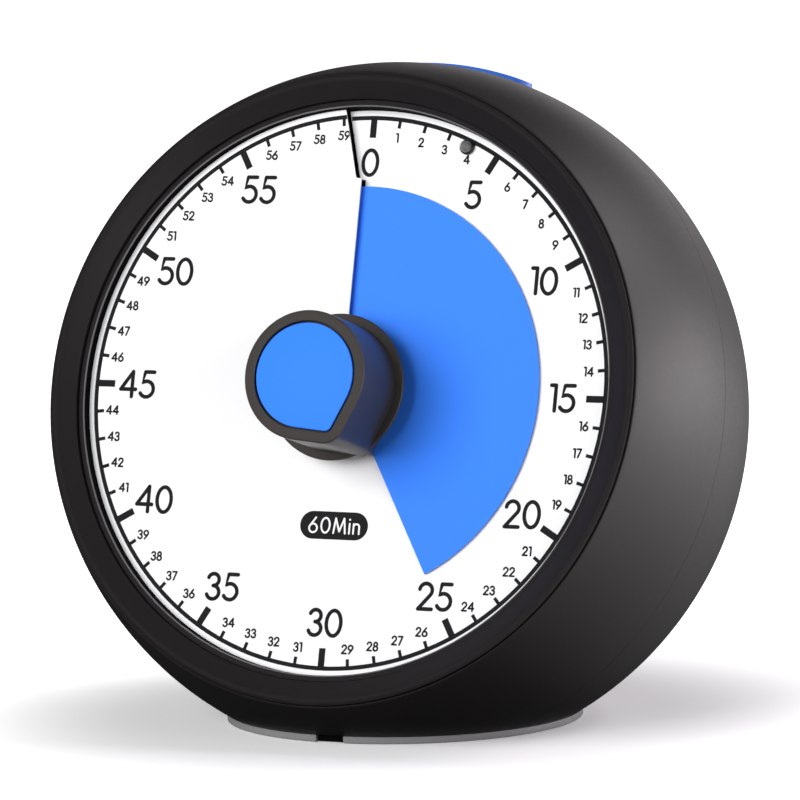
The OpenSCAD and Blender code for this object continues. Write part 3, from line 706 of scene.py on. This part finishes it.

# %% [markdown]
# ## Inside the lip
# Between dial and lip the photograph shows a dead black gap in shade, and over it one bright
# line, a highlight on the lip's edge. A sheet in the near black that hardly shines paints the
# shade of the gap, and a fine glossy bead in a lighter grey paints the line's highlight.

# %% The lip's painted shade
SHADE_SHEET_IN, SHADE_SHEET_OUT = 0.06, 0.3 # how far it stands in front of and behind the lip's face
SHADE_SHEET_DEPTH, SHADE_SHEET_LOW = 3.0, 0.4
shade_sheet_back, shade_sheet_top = DIAL_Z - SHADE_SHEET_DEPTH, lip_z - SHADE_SHEET_LOW
# A near black sheet in the crevice between dial and lip: painted shade of the gap.
bm = turned([(LIP_R - SHADE_SHEET_IN, shade_sheet_back), (LIP_R + SHADE_SHEET_OUT, shade_sheet_back),
             (LIP_R + SHADE_SHEET_OUT, shade_sheet_top), (LIP_R - SHADE_SHEET_IN, shade_sheet_top)], 256)
lip_shade_sheet = settle(bm, "lip_shade_sheet", shade_black, "case")

# %% [markdown]
# The bead is an arc of points that goes nearly all the way round and is closed by the
# spin's own helper. Most of it is sunk in the lip, and only its front shows.

# %% The lip's edge
# The bead's grey, far lighter than the bezel's black, is a painted highlight; its low roughness is real
# gloss.
edge_gloss_painted_highlight = plastic("edge_gloss_painted_highlight", (0.13, 0.125, 0.13), 0.22, bump=0.02, rough_vary=0.02)
BEAD_R = 0.22
bm = turned(arc((LIP_R + LIP_ROUND, lip_z - LIP_ROUND), BEAD_R, 0, 337.5, 15), 256)
lip_edge = settle(bm, "lip_edge", edge_gloss_painted_highlight, "case")

# %% [markdown]
# ## The knob
# The grip is a round that is drawn out to a corner at one place, its pointer. Two arcs
# that meet in tangents give that outline at any inset. So the whole grip is a stack of
# such rings with equal counts, and each is bridged to the next: up the side, over the
# rounded rim and down into the recess of the inlay.

# %% The knob's outline
KNOB_R = 15.1          # radius of the round part
KNOB_TIP, KNOB_CORNER = 17.4, 4.8 # the corner's distance from the axis, and its radius
KNOB_B = 23.6          # the grip's height over the dial
KNOB_ROUND, INLAY_ROUND = 0.45, 0.2

def knob_outline(inset):
    """Grip outline; its corner points at the disc's leading edge."""
    r, corner, reach = KNOB_R - inset, KNOB_CORNER - inset, KNOB_TIP - KNOB_CORNER
    flat_a = math.degrees(math.acos((r - corner) / reach))
    local = (arc((0, reach), corner, 90 - flat_a, 90 + flat_a, 16)
             + arc((0, 0), r, 90 + flat_a, 450 - flat_a, 104))
    cos_a, sin_a = math.cos(math.radians(-SET_A)), math.sin(math.radians(-SET_A))
    return [(x * cos_a - y * sin_a, x * sin_a + y * cos_a) for x, y in local]

print("points on the knob's outline:", len(knob_outline(0)))

# %% [markdown]
# Bridge loops joins two rings of edges with a band of faces, and pairs their points by
# itself. A rounded rim is then no more than a few rings along a quarter of a circle, and
# the same function serves the grip and its inlay.

# %% Bridged rings
def lofted(rings):
    """Bridges rings of (inset, height) and closes the first and the last."""
    bm = bmesh.new()
    loops = []
    for inset, z in rings:
        verts = [bm.verts.new((x, y, DIAL_Z + z)) for x, y in knob_outline(inset)]
        loops.append([bm.edges.new(pair) for pair in zip(verts, verts[1:] + verts[:1])])
        if len(loops) in (1, len(rings)):
            bm.faces.new(verts)
    for a, b in zip(loops, loops[1:]):
        bmesh.ops.bridge_loops(bm, edges=a + b)
    return bm

def rounded_rim(inset, top, radius, steps):
    """Rings of a rounded rim, from the side to the top."""
    angles = [math.radians(90 * i / steps) for i in range(steps + 1)]
    return [(inset + radius * (1 - math.cos(a)), top - radius * (1 - math.sin(a))) for a in angles]

# %% [markdown]
# The grip is a warm dark grey, lighter than the case and smoother, as a handled piece is.
# It is hollow from behind, because the hub's keys reach up into it. The rings start at
# the hollow's roof, come out under the edge, and end at the floor of the inlay's recess.

# %% The grip
knob_grey = plastic("knob_grey", (0.042, 0.037, 0.035), 0.38, bump=0.05)
FLANGE_R, FLANGE_B, FLANGE_T = 17.2, 3.0, 3.5     # radius, height over the dial, thickness
GRIP_B = FLANGE_B + 0.4           # the grip starts inside the flange
HOLLOW_IN, HOLLOW_B = 4.0, 8.0    # its hollow takes the hub's keys
INLAY_IN, INLAY_D = 2.45, 1.4     # the recess: its distance from the side, and its depth
RECESS_BEVEL = 0.1
bm = lofted([(HOLLOW_IN, HOLLOW_B), (HOLLOW_IN, GRIP_B), (0, GRIP_B)]
            + rounded_rim(0, KNOB_B, KNOB_ROUND, 4)
            + [(INLAY_IN - RECESS_BEVEL, KNOB_B), (INLAY_IN, KNOB_B - RECESS_BEVEL),
               (INLAY_IN, KNOB_B - INLAY_D)])

# %% [markdown]
# A flange at the grip's foot covers the hole in the dial. It is moulded in one with the
# grip, so it goes into the same bmesh. It is turned, with a small rounding in front, and
# narrows to the back, where the shadow between flange and disc shows.

# %% The flange
FLANGE_BORE_R = 8.2
FLANGE_TAPER = 2.0     # the back is this much smaller than the front
FLANGE_ROUND = 0.4
flange_back, flange_front = DIAL_Z + FLANGE_B, DIAL_Z + FLANGE_B + FLANGE_T
add_to(bm, turned([(FLANGE_BORE_R, flange_back), (FLANGE_R - FLANGE_TAPER, flange_back)]
                  + arc((FLANGE_R - FLANGE_ROUND, flange_front - FLANGE_ROUND), FLANGE_ROUND, -30, 90, 7)
                  + [(FLANGE_BORE_R, flange_front)], 160))
knob = settle(bm, "knob_grip", knob_grey, "knob_set", smooth=35)
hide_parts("knob")

# %% [markdown]
# ## The knob's inlay
# A blue plate lies in the recess, with a dark gap round it. It uses the grip's outline at
# a larger inset, so that its corner lines up with the pointer.

# %% The inlay
inlay_blue = plastic("inlay_blue", (0.03, 0.215, 0.98), 0.45, vary=0.02, bump=0.03)
INLAY_GAP = 0.5
INLAY_LOW = 0.1        # it lies this far below the grip's face
plate_in = INLAY_IN + INLAY_GAP
bm = lofted([(plate_in, KNOB_B - INLAY_D)] + rounded_rim(plate_in, KNOB_B - INLAY_LOW, INLAY_ROUND, 3))
inlay = settle(bm, "knob_colour_inlay", inlay_blue, "knob_set", smooth=35)
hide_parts("knob_inlay")

# %% [markdown]
# ## The status light
# A small grey dome looks out of the dial between minutes 3 and 5, with a dark outline round
# its foot. It is a turned stem with a half round on top, moved out to its place on the spiral.

# %% The status light
led_grey = plastic("led_grey", (0.13, 0.13, 0.13), 0.22, vary=0.05, coat=0.4)
LED_R, LED_OUT, LED_STEM = 1.4, 2.2, 3.0          # radius, height and depth from the dial
LED_A, LED_AT_R = 22.9, 63.0      # its angle and its distance from the axis
led_base = DIAL_Z + spiral(LED_A)
led_at = Vector((LED_AT_R * math.sin(math.radians(LED_A)), LED_AT_R * math.cos(math.radians(LED_A)), 0))
bm = turned([(0, led_base - LED_STEM), (LED_R, led_base - LED_STEM)]
            + arc((0, led_base + LED_OUT - LED_R), LED_R, 0, 90, 12), 48)
bmesh.ops.translate(bm, vec=led_at, verts=bm.verts)
led = settle(bm, "status_light", led_grey, "case")
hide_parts("status_led")

# %% [markdown]
# A fine ring in the black of the ink stands round the dome's foot. It paints the dark outline
# that the light has in the photograph, shade at the dome's edge, which a darker dome alone
# wouldn't give.

# %% The light's painted shade ring
SHADE_RING_GAP, SHADE_RING_W = 0.02, 0.35
SHADE_RING_SECTION = [(SHADE_RING_GAP, -1.0), (SHADE_RING_W, -1.0), (SHADE_RING_W, 0.7), (0.15, 0.9), (SHADE_RING_GAP, 0.8)]
bm = turned([(LED_R + out, led_base + z) for out, z in SHADE_RING_SECTION], 48)
bmesh.ops.translate(bm, vec=led_at, verts=bm.verts)
# The ring's black ink is painted shade round the dome.
shade_ring = settle(bm, "light_shade_ring", ink_black, "case")

# %% [markdown]
# ## Pads that follow the ball
# The top button and the battery door are pieces of the ball's own curve. A projection
# onto the ball would lose their thickness. So a flat pad is cut in strips, enough for the
# curve, and each point is raised by the ball's height over it.

# %% Pads on the ball
STRIP_STEPS = (2.0, 3.0)          # width of the strips along X and along Y
STRIP_SHIFT = 0.013    # keeps the cuts off the outline's own corners

def on_ball(bm, radius):
    """Raises a flat piece onto a ball of a radius, keeping its own thickness."""
    for v in bm.verts:
        v.co.z += math.sqrt(radius ** 2 - v.co.x ** 2 - v.co.y ** 2)

def ball_pad(outline, depth, radius, bevel):
    """A pad whose face follows the ball: a flat outline, thickened, cut in strips and raised."""
    bm = prism(outline, -depth, 0)
    for axis, step in enumerate(STRIP_STEPS):
        count = int(max(abs(p[axis]) for p in outline) / step)
        for i in range(-count, count + 1):
            point, normal = Vector(), Vector()
            point[axis] = i * step + STRIP_SHIFT
            normal[axis] = 1
            bmesh.ops.bisect_plane(bm, geom=bm.verts[:] + bm.edges[:] + bm.faces[:],
                                   plane_co=point, plane_no=normal)
    on_ball(bm, radius)
    bmesh.ops.recalc_face_normals(bm, faces=bm.faces)
    round_edges(bm, bevel, over=50)
    return bm

# %% [markdown]
# ## The top button
# A blue bar lies across the seam on top of the ball and stands nearly a millimetre proud,
# so that a finger finds it. It is drawn in a frame whose Z points up from the ball.

# %% The top button
button_blue = plastic("button_blue", (0.03, 0.14, 0.62), 0.42, vary=0.03)
BUTTON_L, BUTTON_W = 52.2, 7.4
BUTTON_PROUD = 0.95
BUTTON_DEPTH, BUTTON_ROUND = 3.2, 0.8
TOP_TO_PLACE = TO_PLACE @ Matrix.Rotation(math.radians(-90), 4, "X")
bm = ball_pad(pill_outline(BUTTON_L, BUTTON_W), BUTTON_DEPTH, BALL_R + BUTTON_PROUD, BUTTON_ROUND)
button = settle(bm, "snooze_strip", button_blue, "button", place=TOP_TO_PLACE)
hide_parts("top_button")

# %% [markdown]
# ## Openings in the case
# The button needs a slot, the battery door an opening, and the four screws deep wells.
# Openings that cut a curved wall at a slant are what a boolean is for. It is applied at
# once, and its cutters are deleted, so that plain meshes are left.

# %% A helper for openings
def carve(obj, cutter_bm, place=TO_PLACE):
    """Takes the cutters' volume out of a finished piece."""
    mesh = bpy.data.meshes.new("cutter")
    bmesh.ops.recalc_face_normals(cutter_bm, faces=cutter_bm.faces)
    cutter_bm.to_mesh(mesh)
    cutter_bm.free()
    mesh.transform(place)
    cutter = bpy.data.objects.new("cutter", mesh)
    bpy.context.scene.collection.objects.link(cutter)
    change = obj.modifiers.new("carve", "BOOLEAN")
    change.operation = "DIFFERENCE"
    change.solver = "EXACT"
    change.object = cutter
    shown = obj.evaluated_get(bpy.context.evaluated_depsgraph_get())
    done = bpy.data.meshes.new_from_object(shown)
    obj.modifiers.remove(change)
    old = obj.data
    obj.data = done
    done.name = old.name
    bpy.data.meshes.remove(old)
    bpy.data.objects.remove(cutter)
    bpy.data.meshes.remove(mesh)
    done.set_sharp_from_angle(angle=math.radians(40))
    print(obj.name, "carved:", len(done.polygons), "faces")

# %% [markdown]
# The slot has the button's own outline, grown by the gap. Both halves are cut, because
# the button lies across the seam.

# %% The button's slot
BUTTON_GAP = 0.3
for half in (front, rear):
    slot = prism(pill_outline(BUTTON_L + 2 * BUTTON_GAP, BUTTON_W + 2 * BUTTON_GAP), 70, 90)
    carve(half, slot, place=TOP_TO_PLACE)

# %% [markdown]
# The wells run in from the back to the screws, on a circle at the four diagonals. All five
# cutters go into one bmesh, so that the rear half is cut once and not five times.

# %% Screw wells and the door's opening
WELL_R, WELL_AT_R = 3.3, 71.0     # the wells' radius, and their distance from the axis
WELL_BACK, WELL_END = -80, -14    # from behind the ball to the screw's seat
DOOR_L, DOOR_W, DOOR_CORNER = 57.0, 33.0, 3.0
bm = prism(box_outline(DOOR_L, DOOR_W, DOOR_CORNER), -90, -68)
for k in range(4):
    a = math.radians(45 + 90 * k)
    centre = (WELL_AT_R * math.cos(a), WELL_AT_R * math.sin(a))
    add_to(bm, prism(arc(centre, WELL_R, 0, 352.5, 47), WELL_BACK, WELL_END))
carve(rear, bm)

# %% [markdown]
# ## The battery door
# The door closes the opening in the back and carries on the ball's curve, so it is a pad
# too, drawn in a frame whose Z points out of the back. It has the case's own finish.

# %% The battery door
DOOR_GAP = 0.3
DOOR_T, DOOR_ROUND = WALL - 0.4, 0.25
BACK_TO_PLACE = TO_PLACE @ Matrix.Rotation(math.radians(180), 4, "Y")
bm = ball_pad(box_outline(DOOR_L - 2 * DOOR_GAP, DOOR_W - 2 * DOOR_GAP, DOOR_CORNER - DOOR_GAP),
              DOOR_T, BALL_R, DOOR_ROUND)
door = settle(bm, "cell_door", case_black, "door", place=BACK_TO_PLACE)
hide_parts("battery_door")

# %% [markdown]
# Ribs near one end let a thumb push the door off. Grooves cut into so thin a shell would
# leave bad faces, so the ribs are raised. Each is a short bar with rounded rims, and they
# join in one piece that moves with the door.

# %% The door's ribs
RIB_L, RIB_W, RIB_OUT = 14.0, 0.9, 0.4
RIB_STEP = 2.0
RIB_FIRST = 6.0        # from the door's end to the first rib
bm = bmesh.new()
for k in range(5):
    rib = prism(pill_outline(RIB_L, RIB_W, count=8), -0.5, 0, bevel=0.2)
    bmesh.ops.rotate(rib, cent=(0, 0, 0), matrix=Matrix.Rotation(math.radians(90), 3, "Z"), verts=rib.verts)
    bmesh.ops.translate(rib, vec=(RIB_FIRST - DOOR_L / 2 + RIB_STEP * k, 0, 0), verts=rib.verts)
    on_ball(rib, BALL_R + RIB_OUT)
    add_to(bm, rib)
grips = settle(bm, "door_grip_ribs", case_black, "door", place=BACK_TO_PLACE)

# %% [markdown]
# ## The foot
# A round grey pad keeps the timer from sliding, and has a notch in its front edge. It is
# an arc with three straight edges at the notch, drawn up as a prism. The pad stands
# level, so it is drawn upright and only scaled to metres.

# %% The foot pad
pad_grey = plastic("pad_grey", (0.22, 0.22, 0.225), 0.6, bump=0.12)
PAD_R = 42.2
NOTCH_W, NOTCH_D = 6.9, 3.0
UPRIGHT = Matrix.Scale(MM, 4)
notch_a = math.degrees(math.asin(NOTCH_W / 2 / PAD_R))
pad_outline = (arc((0, 0), PAD_R, -90 + notch_a, 270 - notch_a, 180)
               + [(-NOTCH_W / 2, NOTCH_D - PAD_R), (NOTCH_W / 2, NOTCH_D - PAD_R)])
bm = prism(pad_outline, 0, PAD_T, bevel=0.2)
pad = settle(bm, "foot_pad", pad_grey, "case", place=UPRIGHT)
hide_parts("base_pad")

# %% [markdown]
# The photograph shows something black in the notch: the black case under the ball, in shade.
# It is made as a small tongue of the case, set back a little from the pad's front edge, in the
# near black that hardly shines, which paints that shade.

# %% The tongue in the notch
TONGUE_GAP = 0.1
TONGUE_FRONT, TONGUE_BACK = 1.0, 4.0  # from the pad's front edge
half_w = NOTCH_W / 2 - TONGUE_GAP
bm = prism([(-half_w, TONGUE_BACK - PAD_R), (-half_w, TONGUE_FRONT - PAD_R),
            (half_w, TONGUE_FRONT - PAD_R), (half_w, TONGUE_BACK - PAD_R)],
           TONGUE_GAP, PAD_T, bevel=0.1)
# Its near black is painted shade in the notch.
tongue = settle(bm, "foot_tongue", shade_black, "case", place=UPRIGHT)

# %% [markdown]
# ## Inner pieces
# Gears, plates, motor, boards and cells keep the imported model's own shape, which is exact,
# and only get a finish. Metals use the plastic's helper with Metallic at 1 and a wider
# spread of roughness, as turned and stamped pieces have.

# %% Finishes of the inner pieces
def metal(name, colour, rough):
    """A metal finish: the plastic's noise under a metallic shader."""
    mat = plastic(name, colour, rough, vary=0.1, rough_vary=0.1)
    mat.node_tree.nodes["Principled BSDF"].inputs["Metallic"].default_value = 1.0
    return mat

inner_black = plastic("inner_black", (0.02, 0.02, 0.02), 0.6)
hub_white = plastic("hub_white", (0.7, 0.7, 0.67), 0.45)
gear_cream = plastic("gear_cream", (0.7, 0.66, 0.55), 0.4)
board_green = plastic("board_green", (0.02, 0.16, 0.06), 0.35, coat=0.3)
cell_film = plastic("cell_film", (0.08, 0.08, 0.09), 0.25, coat=0.5)
steel = metal("steel", (0.56, 0.56, 0.58), 0.32)
brass = metal("brass", (0.60, 0.42, 0.16), 0.3)

# %% [markdown]
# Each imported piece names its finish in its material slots. Only the slots are filled
# anew, and the piece itself is left as it was packed.

# %% Fill the slots
FINISH = {
    "case_black": case_black, "bezel_black": bezel_black, "pad_grey": pad_grey,
    "dial_white": dial_white, "disc_blue": disc_blue, "knob_grey": knob_grey,
    "inlay_blue": inlay_blue, "button_blue": button_blue, "led_grey": led_grey,
    "inner_black": inner_black, "hub_white": hub_white, "gear_acetal": gear_cream,
    "brass": brass, "steel": steel, "board_green": board_green, "switch_black": inner_black,
    "cell_wrap": cell_film,
}
filled = 0
for node_name, node in nodes.items():
    for k, packed in enumerate(node.data.materials):
        key = packed.name.split(".")[0]
        if key in FINISH:
            node.data.materials[k] = FINISH[key]
            filled += 1
        else:
            print("no finish for", node_name, key)
print("slots filled:", filled)

# %% [markdown]
# ## The camera
# The photograph was taken from the right and a little above. Its lens is long, because
# the far side of the dial is hardly smaller than the near one. The view could be set by
# eye. Here it is written as an azimuth, an elevation and a roll about the ball's centre,
# fitted to the ticks of the dial, with a small shift of the aim instead of a lens shift.

# %% The camera
AZIMUTH, ELEVATION, ROLL = 24.84, 6.30, 1.07
DISTANCE = 1.492
LENS = 284.4
SENSOR = 36.0
AIM_RIGHT, AIM_UP = 0.00008, 0.00269
az, el, roll = (math.radians(v) for v in (AZIMUTH, ELEVATION, ROLL))
forward = Vector((-math.sin(az) * math.cos(el), math.cos(az) * math.cos(el), -math.sin(el)))
right = forward.cross(Vector((0, 0, 1))).normalized()
up = right.cross(forward)
turn = Matrix.Rotation(roll, 4, forward)
right, up = turn @ right, turn @ up

camera_data = bpy.data.cameras.new("camera")
camera_data.lens = LENS
camera_data.sensor_width = SENSOR
camera_data.clip_end = 20
camera = bpy.data.objects.new("camera", camera_data)
camera.matrix_world = Matrix((right, up, -forward)).transposed().to_4x4()
camera.location = ball_centre + right * AIM_RIGHT + up * AIM_UP - forward * DISTANCE
bpy.context.scene.collection.objects.link(camera)
bpy.context.scene.camera = camera
print("camera at", [round(v, 3) for v in camera.location])

# %% [markdown]
# ## The ground
# The photograph has a plain white ground, a dark underside and one broad soft highlight
# on the right. More light would burn out the dial, so the ground is white for the camera
# alone: it glows more the farther it is from the timer, and only the shadow beside the
# foot shows. Every other ray sees it dark, but for the right side, where the light is.

# %% What the camera sees
def only_for_camera(tree, seen, hidden):
    """A mix that shows one shader to the camera and the other to every other ray."""
    mix = tree.nodes.new("ShaderNodeMixShader")
    path = tree.nodes.new("ShaderNodeLightPath")
    tree.links.new(path.outputs["Is Camera Ray"], mix.inputs["Fac"])
    tree.links.new(hidden.outputs[0], mix.inputs[1])
    tree.links.new(seen.outputs[0], mix.inputs[2])
    return mix

# %% The ground's finish
GROUND_WHITE = (0.95, 0.95, 0.96, 1)
GLOW_NEAR, GLOW_FAR = 0.06, 0.15  # distances in metres between which the glow grows
GLOW_LOW = 0.17
SHINE_FROM, SHINE_TO = 0.05, 0.22 # how far to the right it starts and ends to shine back
SHINE_LOW, SHINE_HIGH = 0.03, 1.3

floor_white = bpy.data.materials.new("floor_white")
floor_white.use_nodes = True
tree = floor_white.node_tree
tree.nodes.remove(tree.nodes["Principled BSDF"])
spot = tree.nodes.new("ShaderNodeTexCoord")
white = tree.nodes.new("ShaderNodeBsdfDiffuse")
white.inputs["Color"].default_value = GROUND_WHITE

far = tree.nodes.new("ShaderNodeVectorMath")
far.operation = "LENGTH"
tree.links.new(spot.outputs["Object"], far.inputs[0])
strength = ranged(tree, far.outputs["Value"], GLOW_LOW, 1.0, GLOW_NEAR, GLOW_FAR)
strength.interpolation_type = "SMOOTHSTEP"
glow = tree.nodes.new("ShaderNodeEmission")
tree.links.new(strength.outputs["Result"], glow.inputs["Strength"])
seen = tree.nodes.new("ShaderNodeAddShader")
tree.links.new(white.outputs[0], seen.inputs[0])
tree.links.new(glow.outputs[0], seen.inputs[1])

parts = tree.nodes.new("ShaderNodeSeparateXYZ")
tree.links.new(spot.outputs["Object"], parts.inputs[0])
shine = ranged(tree, parts.outputs["X"], SHINE_LOW, SHINE_HIGH, SHINE_FROM, SHINE_TO)
hidden = tree.nodes.new("ShaderNodeEmission")
tree.links.new(shine.outputs["Result"], hidden.inputs["Color"])

# %% [markdown]
# From underneath the ground is clear, so that the foot can be looked at too. It lies a
# tenth of a millimetre below the foot, so that the two faces don't flicker.

# %% The ground
GROUND_Z = -0.0001
GROUND_SIZE = 4
under = tree.nodes.new("ShaderNodeNewGeometry")
clear = tree.nodes.new("ShaderNodeBsdfTransparent")
two_sides = tree.nodes.new("ShaderNodeMixShader")
tree.links.new(under.outputs["Backfacing"], two_sides.inputs["Fac"])
tree.links.new(only_for_camera(tree, seen, hidden).outputs[0], two_sides.inputs[1])
tree.links.new(clear.outputs[0], two_sides.inputs[2])
tree.links.new(two_sides.outputs[0], tree.nodes["Material Output"].inputs["Surface"])

bm = bmesh.new()
bmesh.ops.create_grid(bm, x_segments=1, y_segments=1, size=GROUND_SIZE,
                      matrix=Matrix.Translation((0, 0, GROUND_Z)))
floor_mesh = bpy.data.meshes.new("floor")
bm.to_mesh(floor_mesh)
bm.free()
floor = bpy.data.objects.new("floor", floor_mesh)
floor_mesh.materials.append(floor_white)
bpy.context.scene.collection.objects.link(floor)
print("ground of", 2 * GROUND_SIZE, "m")

# %% [markdown]
# ## The room
# Behind the timer the camera sees pure white too. Mirror-like rays see a nearly dark room,
# because the case shows no bright surroundings, only the soft boxes that stand in it.

# %% The room
ROOM_LIGHT = 0.07
world = bpy.data.worlds.new("studio")
bpy.context.scene.world = world
world.use_nodes = True
tree = world.node_tree
plain = tree.nodes["Background"]
plain.inputs["Color"].default_value = (1, 1, 1, 1)
plain.inputs["Strength"].default_value = 1.0
room = tree.nodes.new("ShaderNodeBackground")
room.inputs["Color"].default_value = (1, 1, 1, 1)
room.inputs["Strength"].default_value = ROOM_LIGHT
backdrop = only_for_camera(tree, plain, room)
tree.links.new(backdrop.outputs[0], tree.nodes["World Output"].inputs["Surface"])
print("room light", ROOM_LIGHT)

# %% [markdown]
# ## Soft boxes
# Area lamps stand for the studio's soft boxes. The big one in front lights the dial and
# the knob but isn't mirrored, as it would paint a band on the bezel. The low one on the
# right makes the broad highlight on the ball, and the others lift the sides a little.

# %% Soft boxes
LAMP_TINT = (1.0, 0.94, 0.98)
LAMP_AIM = Vector((0, 0, 0.08))   # the middle of the timer

def soft_box(name, place, power, size, tint=LAMP_TINT, mirrored=True):
    """Adds an area lamp that looks at the timer."""
    data = bpy.data.lights.new(name, "AREA")
    data.energy = power
    data.color = tint
    data.shape = "RECTANGLE"
    data.size, data.size_y = size
    obj = bpy.data.objects.new(name, data)
    obj.location = place
    obj.rotation_euler = (LAMP_AIM - Vector(place)).to_track_quat("-Z", "Y").to_euler()
    obj.visible_glossy = mirrored
    bpy.context.scene.collection.objects.link(obj)
    print(name, power, "W")

soft_box("front_box", (-0.8, -1.9, 0.8), 62, (1.8, 1.4), tint=(1, 1, 1), mirrored=False)
soft_box("side_box", (1.45, 0.95, 0.12), 24, (1.5, 0.6))
soft_box("high_box", (1.15, 0.8, 1.2), 12, (1.0, 0.8))
soft_box("back_box", (-0.2, 2.0, 0.6), 3.5, (1.4, 0.5))
soft_box("right_card", (1.7, -0.7, 0.4), 8.5, (1.0, 0.8))

# %% [markdown]
# ## Finish
# The Standard view keeps colours as they are written.

# %% Finish
bpy.context.scene.view_settings.view_transform = "Standard"
